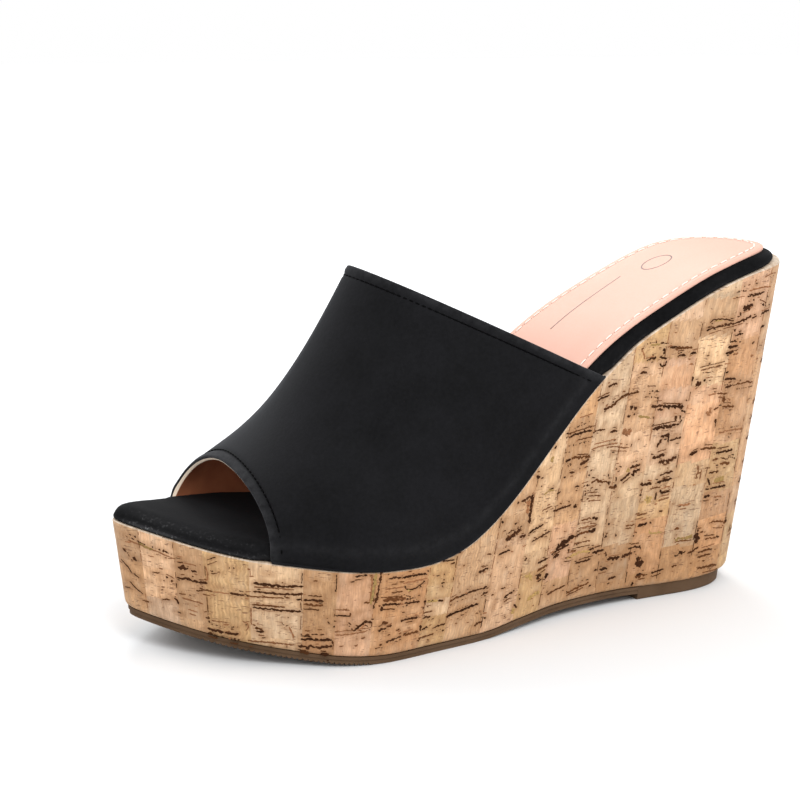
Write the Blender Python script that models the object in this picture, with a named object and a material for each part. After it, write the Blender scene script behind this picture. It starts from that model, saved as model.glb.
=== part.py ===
"""Wedge platform slide, left shoe: a peep-toe nubuck vamp on a cork-covered wedge.

Metres, +Z up, toe towards +X, the outer (lateral) side of the foot towards +Y.
The shoe stands on z = 0, and the origin is the middle of its bounding box, on the floor.
"""

import math
from collections import namedtuple

import bmesh
import bpy
import numpy as np
from mathutils import Vector

# Driving sizes of the last and the wedge
WEDGE_LENGTH = 0.222  # heel back to toe tip of the cork's top edge, seen from above
BALL_WIDTH = 0.083  # widest part of the cork's top edge
HEEL_HEIGHT = 0.1055  # floor to the cork's top at the heel back
PLATFORM_HEIGHT = 0.0284  # floor to the cork's top under the ball of the foot
TOE_LIFT = 0.0106  # how much the cork's top climbs from the ball to the toe tip
HEEL_BATTER = 0.0149  # how far the wedge's back leans in, from top to floor
TOE_BATTER = 0.0030  # the same at the toe
HEEL_SIDE_INSET = 0.0066  # each side leans in by this at the heel
BALL_SIDE_INSET = 0.0008  # and by this at the ball
HEEL_LEAN_SHARE = 0.20  # up to here the side leans as at the heel
BALL_LEAN_SHARE = 0.65  # and from here as at the ball
HEEL_ROUND_SHARE = 0.14  # share of the length that the heel's round end takes
TOE_ROUND_SHARE = 0.26  # share that the toe's round end takes
HEEL_ROUNDNESS = 2.06  # exponents of the two round ends: 2 is an ellipse
TOE_ROUNDNESS = 2.0
WEDGE_TOP_EDGE = 0.0008  # radius of the cork's upper edge
WEDGE_BOTTOM_EDGE = 0.0018  # radius of the cork's lower edge
EDGE_BULGE = 0.3  # how near a rounded edge's middle point comes to the sharp corner

# Driving sizes of the bottom
ARCH_RISE = 0.0026  # outsole above the floor at the shank
TOE_SPRING = 0.0103  # outsole above the floor at the toe tip
OUTSOLE_THICKNESS = 0.0024
OUTSOLE_INSET = 0.0009  # outsole edge inside the cork's edge
TREAD_STEP = 0.0004  # the tread part of the outsole's edge stands in by this
TREAD_SHARE = 0.5  # the tread part, as a share of the outsole's thickness
TREAD_SLOPE_SHARE = 0.1  # and the slope above it
RIB_PITCH = 0.0015  # fine ribs run across the forefoot and notch the sole's lower edge
RIB_LAND = 0.0007  # the flat top of each rib
RIB_DEPTH = 0.0006
RIBS_BACK_SHARE = 0.71  # the ribbed stretch, as shares of the length from the heel
RIBS_FRONT_SHARE = 0.93
LIFT_BREAST_SHARE = 0.205  # where the heel lift's straight front is, from the heel
LIFT_INSET = 0.0014
LIFT_TAPER = 0.0005

# Driving sizes of the footbed, the sock and the upper
FOOTBED_THICKNESS = 0.0048
FOOTBED_EDGE_ROUND = 0.0013
SOCK_THICKNESS = 0.0010
SOCK_FRONT_SHARE = 0.66
UPPER_WALL = 0.0018  # nubuck and lining together
UPPER_OVERHANG = 0.0007  # the upper's outside stands proud of the cork by this
LASTING_MARGIN = 0.0090  # the upper's edge turned in under the footbed, from the cork's edge
LASTED_CORNER = 0.0008  # outer radius where the upper turns under
INSTEP_RISE = 0.0816  # top of the throat above the cork straight below it
FIT_GAP = 0.0003  # between pieces that touch

UPPER_INSIDE = UPPER_WALL - UPPER_OVERHANG  # the wall's inside, in from the cork's edge
FOOTBED_INSET = UPPER_INSIDE + FIT_GAP
SOCK_INSET = FOOTBED_INSET + FOOTBED_EDGE_ROUND
SIDE_WALL_HEIGHT = 2 * FIT_GAP + FOOTBED_THICKNESS  # the upper is upright up to here

# Seen from above: the centre line's shift to +Y and half the width, as shares of BALL_WIDTH
OutlineRow = namedtuple("OutlineRow", "station centre half_width")
OUTLINE = [
    OutlineRow(0.00, 0.006, 0.350),
    OutlineRow(0.10, 0.000, 0.334),
    OutlineRow(0.22, 0.002, 0.342),
    OutlineRow(0.36, 0.023, 0.359),
    OutlineRow(0.50, 0.045, 0.412),
    OutlineRow(0.62, 0.046, 0.453),
    OutlineRow(0.72, 0.027, 0.497),
    OutlineRow(0.82, -0.030, 0.466),
    OutlineRow(0.92, -0.048, 0.380),
    OutlineRow(1.00, -0.079, 0.230),
]

# The cork's top, seen from the side: shares of the heel's rise over the platform and of TOE_LIFT
TopRow = namedtuple("TopRow", "station heel_share toe_share")
TOP_PROFILE = [
    TopRow(0.00, 1.000, 0.00),
    TopRow(0.10, 0.980, 0.00),
    TopRow(0.22, 0.842, 0.00),
    TopRow(0.34, 0.645, 0.00),
    TopRow(0.46, 0.322, 0.00),
    TopRow(0.58, 0.038, 0.00),
    TopRow(0.70, 0.000, 0.00),
    TopRow(0.84, 0.000, 0.27),
    TopRow(1.00, 0.000, 1.00),
]

# The outsole's underside: shares of ARCH_RISE and TOE_SPRING; zero on both is the flat tread
BottomRow = namedtuple("BottomRow", "station arch_share spring_share")
BOTTOM_PROFILE = [
    BottomRow(0.00, 1.10, 0.000),
    BottomRow(0.20, 0.75, 0.000),
    BottomRow(0.31, 1.00, 0.000),
    BottomRow(0.40, 0.95, 0.000),
    BottomRow(0.48, 0.50, 0.000),
    BottomRow(0.55, 0.00, 0.000),
    BottomRow(0.68, 0.00, 0.000),
    BottomRow(0.74, 0.00, 0.060),
    BottomRow(0.80, 0.00, 0.185),
    BottomRow(0.87, 0.00, 0.410),
    BottomRow(0.94, 0.00, 0.700),
    BottomRow(1.00, 0.00, 1.000),
]

# Girth sections of the upper, each in a plane: the stations of its two ends on the cork's edge and
# of its crown, the crown's rise as a share of INSTEP_RISE and its shift as a share of BALL_WIDTH
GirthRow = namedtuple("GirthRow", "along lateral medial crown rise shift")
GIRTHS = [
    GirthRow(0.00, 0.846, 0.898, 0.847, 0.281, -0.072),  # toe opening
    GirthRow(0.25, 0.722, 0.762, 0.794, 0.404, -0.082),  # toes
    GirthRow(0.50, 0.600, 0.626, 0.746, 0.580, -0.096),  # ball
    GirthRow(0.75, 0.474, 0.488, 0.698, 0.780, -0.107),  # waist
    GirthRow(1.00, 0.348, 0.350, 0.650, 1.000, -0.118),  # throat
]
LATERAL_FULLNESS = 2.0  # exponents of each girth's two halves: 2 is an ellipse
MEDIAL_FULLNESS = 2.1

# The footbed's rolled edge, from its underside up: shares of the edge's round and of the thickness
EdgeRow = namedtuple("EdgeRow", "inset_share height_share")
FOOTBED_EDGE = [
    EdgeRow(0.40, 0.00),
    EdgeRow(0.08, 0.12),
    EdgeRow(0.00, 0.40),
    EdgeRow(0.10, 0.70),
    EdgeRow(0.42, 0.90),
    EdgeRow(1.00, 1.00),
]

STATIONS = 52  # sections along a full-length piece
GIRTH_STEPS = 18  # sections from the toe opening to the throat
HALF_GIRTH_STEPS = 12  # points from a side wall's top to the crown
TUCK_STEPS = 30  # sections of the cork's step under the upper
LIFT_STEPS = 16  # sections of the heel lift
CORNER_STEPS = 2
WALL_STEPS = 2


def natural_spline(rows, column):
    """A smooth curve through one column of a table, as a function of the row's first column."""
    xs = np.array([row[0] for row in rows])
    ys = np.array([getattr(row, column) for row in rows])
    steps = np.diff(xs)
    count = len(xs)
    matrix = np.eye(count)
    right = np.zeros(count)
    for i in range(1, count - 1):
        matrix[i, i - 1 : i + 2] = steps[i - 1], 2 * (steps[i - 1] + steps[i]), steps[i]
        right[i] = 6 * ((ys[i + 1] - ys[i]) / steps[i] - (ys[i] - ys[i - 1]) / steps[i - 1])
    bends = np.linalg.solve(matrix, right)

    def value(x):
        i = int(np.clip(np.searchsorted(xs, x) - 1, 0, count - 2))
        a, b, step = xs[i + 1] - x, x - xs[i], steps[i]
        curved = (bends[i] * a**3 + bends[i + 1] * b**3) / (6 * step)
        left = (ys[i] / step - bends[i] * step / 6) * a
        return float(curved + left + (ys[i + 1] / step - bends[i + 1] * step / 6) * b)

    return value


def flat_keeping_curve(rows, column):
    """A curve through one column that never overshoots, so level stretches stay level."""
    xs = np.array([row[0] for row in rows])
    ys = np.array([getattr(row, column) for row in rows])
    steps = np.diff(xs)
    slopes = np.diff(ys) / steps
    tangents = np.zeros(len(xs))
    for i in range(1, len(xs) - 1):
        if slopes[i - 1] * slopes[i] > 0:
            tangents[i] = 2 * slopes[i - 1] * slopes[i] / (slopes[i - 1] + slopes[i])
    tangents[-1] = slopes[-1]

    def value(x):
        i = int(np.clip(np.searchsorted(xs, x) - 1, 0, len(xs) - 2))
        t = (min(max(x, xs[0]), xs[-1]) - xs[i]) / steps[i]
        start = (1 + 2 * t) * (1 - t) ** 2 * ys[i] + t * (1 - t) ** 2 * steps[i] * tangents[i]
        end = t * t * (3 - 2 * t) * ys[i + 1] + t * t * (t - 1) * steps[i] * tangents[i + 1]
        return float(start + end)

    return value


centre_share = natural_spline(OUTLINE, "centre")
width_share = natural_spline(OUTLINE, "half_width")
heel_share = natural_spline(TOP_PROFILE, "heel_share")
toe_share = flat_keeping_curve(TOP_PROFILE, "toe_share")
arch_share = flat_keeping_curve(BOTTOM_PROFILE, "arch_share")
spring_share = flat_keeping_curve(BOTTOM_PROFILE, "spring_share")
girth_curves = {name: natural_spline(GIRTHS, name) for name in GirthRow._fields[1:]}


def smooth_step(t):
    t = min(max(t, 0.0), 1.0)
    return t * t * (3 - 2 * t)


def mix(a, b, t):
    return a + (b - a) * t


def end_rounding(station):
    """1 along the middle, falling to 0 at the heel back and the toe tip as a round end does."""
    toe_distance, heel_distance = 1 - station, station
    if heel_distance < HEEL_ROUND_SHARE:
        power, share = HEEL_ROUNDNESS, 1 - heel_distance / HEEL_ROUND_SHARE
    elif toe_distance < TOE_ROUND_SHARE:
        power, share = TOE_ROUNDNESS, 1 - toe_distance / TOE_ROUND_SHARE
    else:
        return 1.0
    return max(0.0, 1 - share**power) ** (1 / power)


def end_pull(station):
    """How an inset moves the outline's two ends: 1 at the heel back, 0 between, -1 at the tip."""
    heel = max(0.0, 1 - station / HEEL_ROUND_SHARE)
    toe = max(0.0, 1 - (1 - station) / TOE_ROUND_SHARE)
    return heel - toe


def station_of(x):
    return x / WEDGE_LENGTH + 0.5


def top_edge(station, side, inset):
    """(x, y) on the cork's top outline, moved in by inset; side is +1 lateral, -1 medial."""
    x = WEDGE_LENGTH * (station - 0.5) + inset * end_pull(station)
    half = end_rounding(station) * (width_share(station) * BALL_WIDTH - inset)
    return x, centre_share(station) * BALL_WIDTH + side * half


def bottom_edge(station, side, inset):
    """(x, y) on the cork's bottom outline, which stands in from the top one by the batter."""
    x = mix(-WEDGE_LENGTH / 2 + HEEL_BATTER, WEDGE_LENGTH / 2 - TOE_BATTER, station)
    x += inset * end_pull(station)
    along_lean = (station - HEEL_LEAN_SHARE) / (BALL_LEAN_SHARE - HEEL_LEAN_SHARE)
    lean = mix(HEEL_SIDE_INSET, BALL_SIDE_INSET, smooth_step(along_lean))
    half = end_rounding(station) * (width_share(station) * BALL_WIDTH - lean - inset)
    return x, centre_share(station) * BALL_WIDTH + side * half


def top_height(x):
    station = station_of(x)
    heel_rise = (HEEL_HEIGHT - PLATFORM_HEIGHT) * heel_share(station)
    return PLATFORM_HEIGHT + heel_rise + TOE_LIFT * toe_share(station)


def underside_height(x):
    """The outsole's underside above the floor."""
    station = station_of(x)
    return ARCH_RISE * arch_share(station) + TOE_SPRING * spring_share(station)


def cork_bottom_height(x):
    return underside_height(x) + OUTSOLE_THICKNESS + FIT_GAP


def top_slope_axes(x):
    """Unit vectors along the cork's top towards the toe, and square to it, in the side view."""
    reach = 0.0005
    along = Vector((2 * reach, 0, top_height(x + reach) - top_height(x - reach))).normalized()
    return along, Vector((-along.z, 0, along.x))


def on_top(xy, height):
    """A point at this height above the cork's top, measured square to it."""
    x, y = xy
    _, up = top_slope_axes(x)
    return Vector((x, y, top_height(x))) + up * height


def spread_stations(start, end, count):
    """Stations from start to end, closer together towards a round end of the shoe."""
    low = math.acos(1 - 2 * start)
    high = math.acos(1 - 2 * end)
    return [0.5 * (1 - math.cos(mix(low, high, i / count))) for i in range(count + 1)]


def add_object(name, bm, material):
    bmesh.ops.remove_doubles(bm, verts=bm.verts, dist=1e-6)
    bmesh.ops.recalc_face_normals(bm, faces=bm.faces)
    mesh = bpy.data.meshes.new(name)
    bm.to_mesh(mesh)
    bm.free()
    obj = bpy.data.objects.new(name, mesh)
    bpy.context.scene.collection.objects.link(obj)
    mesh.materials.append(material)
    mesh.shade_smooth()
    mesh.set_sharp_from_angle(angle=math.radians(35))
    return obj


def skin(name, stations, levels, material):
    """A closed body from outlines stacked from the bottom up.

    Each level is a function (station, side) that gives a point. The first and last levels are
    closed straight across from the lateral to the medial side.
    """
    bm = bmesh.new()
    rings = []
    for level in levels:
        lateral = [bm.verts.new(level(station, 1)) for station in stations]
        medial = [bm.verts.new(level(station, -1)) for station in stations]
        rings.append((lateral, medial))
    for (low_lateral, low_medial), (high_lateral, high_medial) in zip(rings, rings[1:]):
        low = low_lateral + low_medial[::-1]
        high = high_lateral + high_medial[::-1]
        for i in range(len(low)):
            j = (i + 1) % len(low)
            bm.faces.new((low[i], low[j], high[j], high[i]))
    for lateral, medial in (rings[0], rings[-1]):
        for i in range(len(stations) - 1):
            bm.faces.new((lateral[i], lateral[i + 1], medial[i + 1], medial[i]))
    return add_object(name, bm, material)


def material(name, colour, roughness):
    made = bpy.data.materials.new(name)
    made.use_nodes = True
    shader = made.node_tree.nodes["Principled BSDF"]
    shader.inputs["Base Color"].default_value = (*colour, 1)
    shader.inputs["Roughness"].default_value = roughness
    shader.inputs["Metallic"].default_value = 0.0
    made.diffuse_color = (*colour, 1)
    return made


def build_wedge(cork):
    """The cork-covered wedge, with a shallow step along each side where the upper tucks in."""
    top_round, bottom_round = WEDGE_TOP_EDGE, WEDGE_BOTTOM_EDGE

    def bottom_level(inset, rise):
        def point(station, side):
            x, y = bottom_edge(station, side, inset)
            return Vector((x, y, cork_bottom_height(x) + rise))

        return point

    def top_level(inset, height):
        return lambda station, side: on_top(top_edge(station, side, inset), height)

    def between(low, high, share):
        return lambda station, side: low(station, side).lerp(high(station, side), share)

    side_foot = bottom_level(0, bottom_round)
    side_head = top_level(0, -top_round)
    levels = [bottom_level(bottom_round, 0), bottom_level(*[bottom_round * EDGE_BULGE] * 2)]
    levels += [between(side_foot, side_head, share) for share in (0, 0.25, 0.5, 0.75, 1)]
    soft = top_round * EDGE_BULGE
    levels += [top_level(soft, -soft), top_level(top_round, 0)]
    wedge = skin("wedge", spread_stations(0, 1, STATIONS), levels, cork)
    for side, name in ((1, "lateral"), (-1, "medial")):
        cutter = tuck_cutter(side, f"tuck_{name}")
        cut = wedge.modifiers.new(f"tuck_{name}", "BOOLEAN")
        cut.operation = "DIFFERENCE"
        cut.object = cutter
    return wedge


def tuck_cutter(side, name):
    """What the upper's turned-in margin takes out of the cork's upper edge, with its clearance."""
    rows = GIRTHS[0], GIRTHS[-1]
    ends = [row.lateral if side > 0 else row.medial for row in rows]
    clearance = FIT_GAP / WEDGE_LENGTH
    front, back = ends[0] + clearance, ends[1] - clearance
    inner = LASTING_MARGIN + FIT_GAP
    outer = -4 * UPPER_WALL
    floor = -(UPPER_WALL + FIT_GAP)
    corners = ((outer, floor), (inner, floor), (inner, 3 * UPPER_WALL), (outer, 3 * UPPER_WALL))
    bm = bmesh.new()
    sections = []
    for i in range(TUCK_STEPS + 1):
        station = mix(back, front, i / TUCK_STEPS)
        points = [on_top(top_edge(station, side, inset), height) for inset, height in corners]
        sections.append([bm.verts.new(point) for point in points])
    for near, far in zip(sections, sections[1:]):
        for i in range(4):
            bm.faces.new((near[i], near[(i + 1) % 4], far[(i + 1) % 4], far[i]))
    bm.faces.new(sections[0])
    bm.faces.new(sections[-1])
    cutter = add_object(name, bm, bpy.data.materials["cork"])
    cutter.hide_render = True
    cutter.display_type = "WIRE"
    return cutter


def outsole_stations():
    """Stations along the outsole, and the set of those that are the floor of a groove."""
    breast = LIFT_BREAST_SHARE + FIT_GAP / WEDGE_LENGTH
    plain_steps, toe_steps = STATIONS // 3, STATIONS // 5
    stations = [mix(breast, RIBS_BACK_SHARE, i / plain_steps) for i in range(plain_steps)]
    ribs = int((RIBS_FRONT_SHARE - RIBS_BACK_SHARE) * WEDGE_LENGTH / RIB_PITCH)
    pitch, land = RIB_PITCH / WEDGE_LENGTH, RIB_LAND / WEDGE_LENGTH
    grooves = set()
    for i in range(ribs):
        rib = RIBS_BACK_SHARE + i * pitch
        groove = rib + (pitch + land) / 2
        stations += [rib, rib + land, groove]
        grooves.add(groove)
    return stations + spread_stations(RIBS_BACK_SHARE + ribs * pitch, 1, toe_steps), grooves


def build_outsole(rubber):
    """Thin rubber from the toe to the heel lift's breast, ribbed across under the forefoot."""
    stations, grooves = outsole_stations()
    step = OUTSOLE_THICKNESS * TREAD_SHARE

    def level(inset, height):
        def point(station, side):
            x, y = bottom_edge(station, side, inset)
            relief = RIB_DEPTH if height == 0 and station in grooves else 0
            return Vector((x, y, underside_height(x) + height + relief))

        return point

    tread = OUTSOLE_INSET + TREAD_STEP
    levels = [
        level(tread, 0),
        level(tread, step),
        level(OUTSOLE_INSET, step + OUTSOLE_THICKNESS * TREAD_SLOPE_SHARE),
        level(OUTSOLE_INSET, OUTSOLE_THICKNESS),
    ]
    return skin("outsole", stations, levels, rubber)


def build_heel_lift(rubber):
    """The rubber top piece under the heel, flat on the floor, with a straight breast."""
    stations = spread_stations(0, LIFT_BREAST_SHARE, LIFT_STEPS)

    def foot(inset, height):
        def point(station, side):
            x, y = bottom_edge(station, side, inset)
            return Vector((x, y, height))

        return point

    def head(station, side):
        x, y = bottom_edge(station, side, LIFT_INSET)
        return Vector((x, y, cork_bottom_height(x) - FIT_GAP))

    bevel = LIFT_TAPER
    levels = [foot(LIFT_INSET + 2 * bevel, 0), foot(LIFT_INSET + bevel, bevel), head]
    return skin("heel_lift", stations, levels, rubber)


def build_footbed(nubuck):
    """The padded insole board in its nubuck cover, with a rolled edge."""

    def level(row):
        inset = FOOTBED_INSET + row.inset_share * FOOTBED_EDGE_ROUND
        height = FIT_GAP + row.height_share * FOOTBED_THICKNESS
        return lambda station, side: on_top(top_edge(station, side, inset), height)

    levels = [level(row) for row in FOOTBED_EDGE]
    return skin("footbed", spread_stations(0, 1, STATIONS), levels, nubuck)


def build_sock(lining):
    """The thin sock on top of the footbed, from the heel to a straight end under the upper."""
    base = FIT_GAP + FOOTBED_THICKNESS + FIT_GAP

    def level(inset, height):
        return lambda station, side: on_top(top_edge(station, side, inset), base + height)

    bevel = SOCK_THICKNESS * EDGE_BULGE
    levels = [
        level(SOCK_INSET, 0),
        level(SOCK_INSET, SOCK_THICKNESS - bevel),
        level(SOCK_INSET + bevel, SOCK_THICKNESS),
    ]
    stations = spread_stations(0, SOCK_FRONT_SHARE, int(STATIONS * 0.7))
    return skin("sock", stations, levels, lining)


def wall_foot(along, side, height):
    """A point of the upper's upright side wall, leaning with its girth section."""
    station = girth_curves["lateral" if side > 0 else "medial"](along)
    base = on_top(top_edge(station, side, -UPPER_OVERHANG), 0)
    lean = crown_point(along) - base
    lean.y = 0
    x = base.x
    forward, up = top_slope_axes(x)
    drift = height * lean.dot(forward) / lean.dot(up) * forward.x
    reached = station + drift / WEDGE_LENGTH
    return on_top(top_edge(reached, side, -UPPER_OVERHANG), height)


def crown_point(along):
    x = (girth_curves["crown"](along) - 0.5) * WEDGE_LENGTH
    y = girth_curves["shift"](along) * BALL_WIDTH
    return Vector((x, y, top_height(x) + girth_curves["rise"](along) * INSTEP_RISE))


def lasted_edge(along, side):
    """(outside, inside) points from the margin's end under the footbed round to the side wall."""
    station = girth_curves["lateral" if side > 0 else "medial"](along)
    pairs = [((LASTING_MARGIN, -UPPER_WALL), (LASTING_MARGIN, 0))]
    centre_in, centre_up = LASTED_CORNER - UPPER_OVERHANG, LASTED_CORNER - UPPER_WALL
    for i in range(CORNER_STEPS + 1):
        angle = math.pi / 2 * i / CORNER_STEPS
        inset = centre_in - LASTED_CORNER * math.sin(angle)
        height = centre_up - LASTED_CORNER * math.cos(angle)
        inner = FIT_GAP * (1 - math.sin(angle)), FIT_GAP * (1 - math.cos(angle))
        pairs.append(((inset, height), (UPPER_INSIDE + inner[0], inner[1])))
    place = [[on_top(top_edge(station, side, i), h) for i, h in pair] for pair in pairs]
    return [pair[0] for pair in place], [pair[1] for pair in place]


def half_girth(along, side, fullness):
    """Points of the upper's outside from a side wall's foot to the crown."""
    points = []
    for i in range(WALL_STEPS):
        height = mix(FIT_GAP * 2, SIDE_WALL_HEIGHT, i / WALL_STEPS)
        points.append(wall_foot(along, side, height))
    shoulder = wall_foot(along, side, SIDE_WALL_HEIGHT)
    crown = crown_point(along)
    for i in range(HALF_GIRTH_STEPS + 1):
        angle = math.pi / 2 * (1 - i / HALF_GIRTH_STEPS)
        out = math.sin(angle) ** (2 / fullness)
        up = math.cos(angle) ** (2 / fullness) if i else 0.0
        point = shoulder.lerp(crown, up)
        point.y = mix(crown.y, shoulder.y, out)
        points.append(point)
    return points


def inward_normals(grid):
    """Unit normals of a grid of points, pointing into the shoe."""
    points = np.array([[list(point) for point in row] for row in grid])
    across = np.gradient(points, axis=1)
    forward = np.gradient(points, axis=0)
    normals = np.cross(across, forward)
    return normals / np.linalg.norm(normals, axis=2, keepdims=True)


def upper_walls():
    """Two grids of points, the upper's outside and its inside, a row for each girth section."""
    alongs = [i / GIRTH_STEPS for i in range(GIRTH_STEPS + 1)]
    arches = []
    for along in alongs:
        medial = half_girth(along, -1, MEDIAL_FULLNESS)
        arches.append(half_girth(along, 1, LATERAL_FULLNESS) + medial[-2::-1])
    outside, inside = [], []
    for along, arch, normals in zip(alongs, arches, inward_normals(arches)):
        lined = [point + Vector(normal) * UPPER_WALL for point, normal in zip(arch, normals)]
        lateral, medial = lasted_edge(along, 1), lasted_edge(along, -1)
        outside.append(lateral[0] + arch + medial[0][::-1])
        inside.append(lateral[1] + lined + medial[1][::-1])
    return outside, inside


def build_upper(nubuck):
    """The vamp: one wall open at the toe, the throat and underneath, its margins turned in."""
    bm = bmesh.new()
    outer, inner = [
        [[bm.verts.new(point) for point in row] for row in wall] for wall in upper_walls()
    ]
    rows, columns = len(outer), len(outer[0])
    for wall in (outer, inner):
        for i in range(rows - 1):
            for j in range(columns - 1):
                bm.faces.new((wall[i][j], wall[i][j + 1], wall[i + 1][j + 1], wall[i + 1][j]))
    for i in (0, rows - 1):
        for j in range(columns - 1):
            bm.faces.new((outer[i][j], outer[i][j + 1], inner[i][j + 1], inner[i][j]))
    for j in (0, columns - 1):
        for i in range(rows - 1):
            bm.faces.new((outer[i][j], outer[i + 1][j], inner[i + 1][j], inner[i][j]))
    return add_object("upper", bm, nubuck)


def centre_on_origin(pieces):
    """Moves every piece so that the bounding box's middle is over the origin."""
    corners = np.array([vertex.co for piece in pieces for vertex in piece.data.vertices])
    middle = (corners.min(axis=0) + corners.max(axis=0)) / 2
    for piece in bpy.data.objects:
        piece.location = (-middle[0], -middle[1], 0)


def main():
    for obj in list(bpy.data.objects):
        bpy.data.objects.remove(obj)
    cork = material("cork", (0.60, 0.38, 0.20), 0.6)
    rubber = material("rubber", (0.14, 0.09, 0.055), 0.55)
    nubuck = material("nubuck", (0.012, 0.012, 0.014), 0.75)
    lining = material("lining", (0.88, 0.66, 0.52), 0.5)
    centre_on_origin(
        [
            build_wedge(cork),
            build_outsole(rubber),
            build_heel_lift(rubber),
            build_footbed(nubuck),
            build_sock(lining),
            build_upper(nubuck),
        ]
    )


main()
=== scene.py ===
"""Looks of the wedge platform slide: cork wrap, nubuck vamp and footbed, sock and stitching.

Lengths in the tables are in millimetres, everything else in metres. The cork's own coordinates
are a station (mm from the heel back, along the top edge) and a height above the floor.
"""

import math
import random
from collections import namedtuple

import bpy
import numpy as np
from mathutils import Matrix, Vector, noise


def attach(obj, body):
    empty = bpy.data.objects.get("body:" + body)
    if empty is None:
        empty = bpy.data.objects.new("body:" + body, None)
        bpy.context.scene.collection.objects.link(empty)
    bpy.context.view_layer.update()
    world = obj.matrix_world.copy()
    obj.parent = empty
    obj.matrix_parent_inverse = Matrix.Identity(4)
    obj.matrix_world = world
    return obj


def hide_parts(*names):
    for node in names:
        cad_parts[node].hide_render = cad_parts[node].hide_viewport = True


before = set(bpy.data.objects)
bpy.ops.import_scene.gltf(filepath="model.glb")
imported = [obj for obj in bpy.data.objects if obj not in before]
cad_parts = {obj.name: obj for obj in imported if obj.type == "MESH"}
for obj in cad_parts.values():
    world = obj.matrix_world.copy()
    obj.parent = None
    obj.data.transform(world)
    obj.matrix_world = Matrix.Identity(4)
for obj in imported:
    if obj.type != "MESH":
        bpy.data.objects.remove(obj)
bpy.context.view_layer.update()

# The sizes and tables that part.py builds the solids from
WEDGE_LENGTH = 0.222
BALL_WIDTH = 0.083
HEEL_HEIGHT = 0.1055
PLATFORM_HEIGHT = 0.0284
TOE_LIFT = 0.0106
HEEL_BATTER = 0.0149
TOE_BATTER = 0.0030
HEEL_SIDE_INSET = 0.0066
BALL_SIDE_INSET = 0.0008
HEEL_LEAN_SHARE = 0.20
BALL_LEAN_SHARE = 0.65
HEEL_ROUND_SHARE = 0.14
TOE_ROUND_SHARE = 0.26
HEEL_ROUNDNESS = 2.06
TOE_ROUNDNESS = 2.0
WEDGE_TOP_EDGE = 0.0008
WEDGE_BOTTOM_EDGE = 0.0018
ARCH_RISE = 0.0026
TOE_SPRING = 0.0103
OUTSOLE_THICKNESS = 0.0024
FOOTBED_THICKNESS = 0.0048
FOOTBED_EDGE_ROUND = 0.0013
SOCK_THICKNESS = 0.0010
SOCK_FRONT_SHARE = 0.66
UPPER_WALL = 0.0018
UPPER_OVERHANG = 0.0007
LASTING_MARGIN = 0.0090
LASTED_CORNER = 0.0005
INSTEP_RISE = 0.0816
FIT_GAP = 0.0003
UPPER_INSIDE = UPPER_WALL - UPPER_OVERHANG
FOOTBED_INSET = UPPER_INSIDE + FIT_GAP
SOCK_INSET = FOOTBED_INSET + FOOTBED_EDGE_ROUND
SIDE_WALL_HEIGHT = 2 * FIT_GAP + FOOTBED_THICKNESS
# The upper is skived thin where it turns under the footbed
SKIVED_LOW, SKIVED_HIGH = 0.00003, 0.00027
# The solids are centred on their box by this, to -Y
MIDDLE_SHIFT = 0.001585
MM = 0.001
WEDGE_MM = round(WEDGE_LENGTH / MM)

OutlineRow = namedtuple("OutlineRow", "station centre half_width")
OUTLINE = [
    OutlineRow(0.00, 0.006, 0.350),
    OutlineRow(0.10, 0.000, 0.334),
    OutlineRow(0.22, 0.002, 0.342),
    OutlineRow(0.36, 0.023, 0.359),
    OutlineRow(0.50, 0.045, 0.412),
    OutlineRow(0.62, 0.046, 0.453),
    OutlineRow(0.72, 0.027, 0.497),
    OutlineRow(0.82, -0.030, 0.466),
    OutlineRow(0.92, -0.048, 0.380),
    OutlineRow(1.00, -0.079, 0.230),
]
TopRow = namedtuple("TopRow", "station heel_share toe_share")
TOP_PROFILE = [
    TopRow(0.00, 1.000, 0.00),
    TopRow(0.10, 0.980, 0.00),
    TopRow(0.22, 0.842, 0.00),
    TopRow(0.34, 0.645, 0.00),
    TopRow(0.46, 0.322, 0.00),
    TopRow(0.58, 0.038, 0.00),
    TopRow(0.70, 0.000, 0.00),
    TopRow(0.84, 0.000, 0.27),
    TopRow(1.00, 0.000, 1.00),
]
BottomRow = namedtuple("BottomRow", "station arch_share spring_share")
BOTTOM_PROFILE = [
    BottomRow(0.00, 1.10, 0.000),
    BottomRow(0.20, 0.75, 0.000),
    BottomRow(0.31, 1.00, 0.000),
    BottomRow(0.40, 0.95, 0.000),
    BottomRow(0.48, 0.50, 0.000),
    BottomRow(0.55, 0.00, 0.000),
    BottomRow(0.68, 0.00, 0.000),
    BottomRow(0.74, 0.00, 0.060),
    BottomRow(0.80, 0.00, 0.185),
    BottomRow(0.87, 0.00, 0.410),
    BottomRow(0.94, 0.00, 0.700),
    BottomRow(1.00, 0.00, 1.000),
]
GirthRow = namedtuple("GirthRow", "along lateral medial crown rise shift")
GIRTHS = [
    GirthRow(0.00, 0.846, 0.898, 0.847, 0.281, -0.072),
    GirthRow(0.25, 0.722, 0.762, 0.794, 0.404, -0.082),
    GirthRow(0.50, 0.600, 0.626, 0.746, 0.580, -0.096),
    GirthRow(0.75, 0.474, 0.488, 0.698, 0.780, -0.107),
    GirthRow(1.00, 0.348, 0.350, 0.650, 1.000, -0.118),
]
LATERAL_FULLNESS = 2.0
MEDIAL_FULLNESS = 2.1


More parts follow.
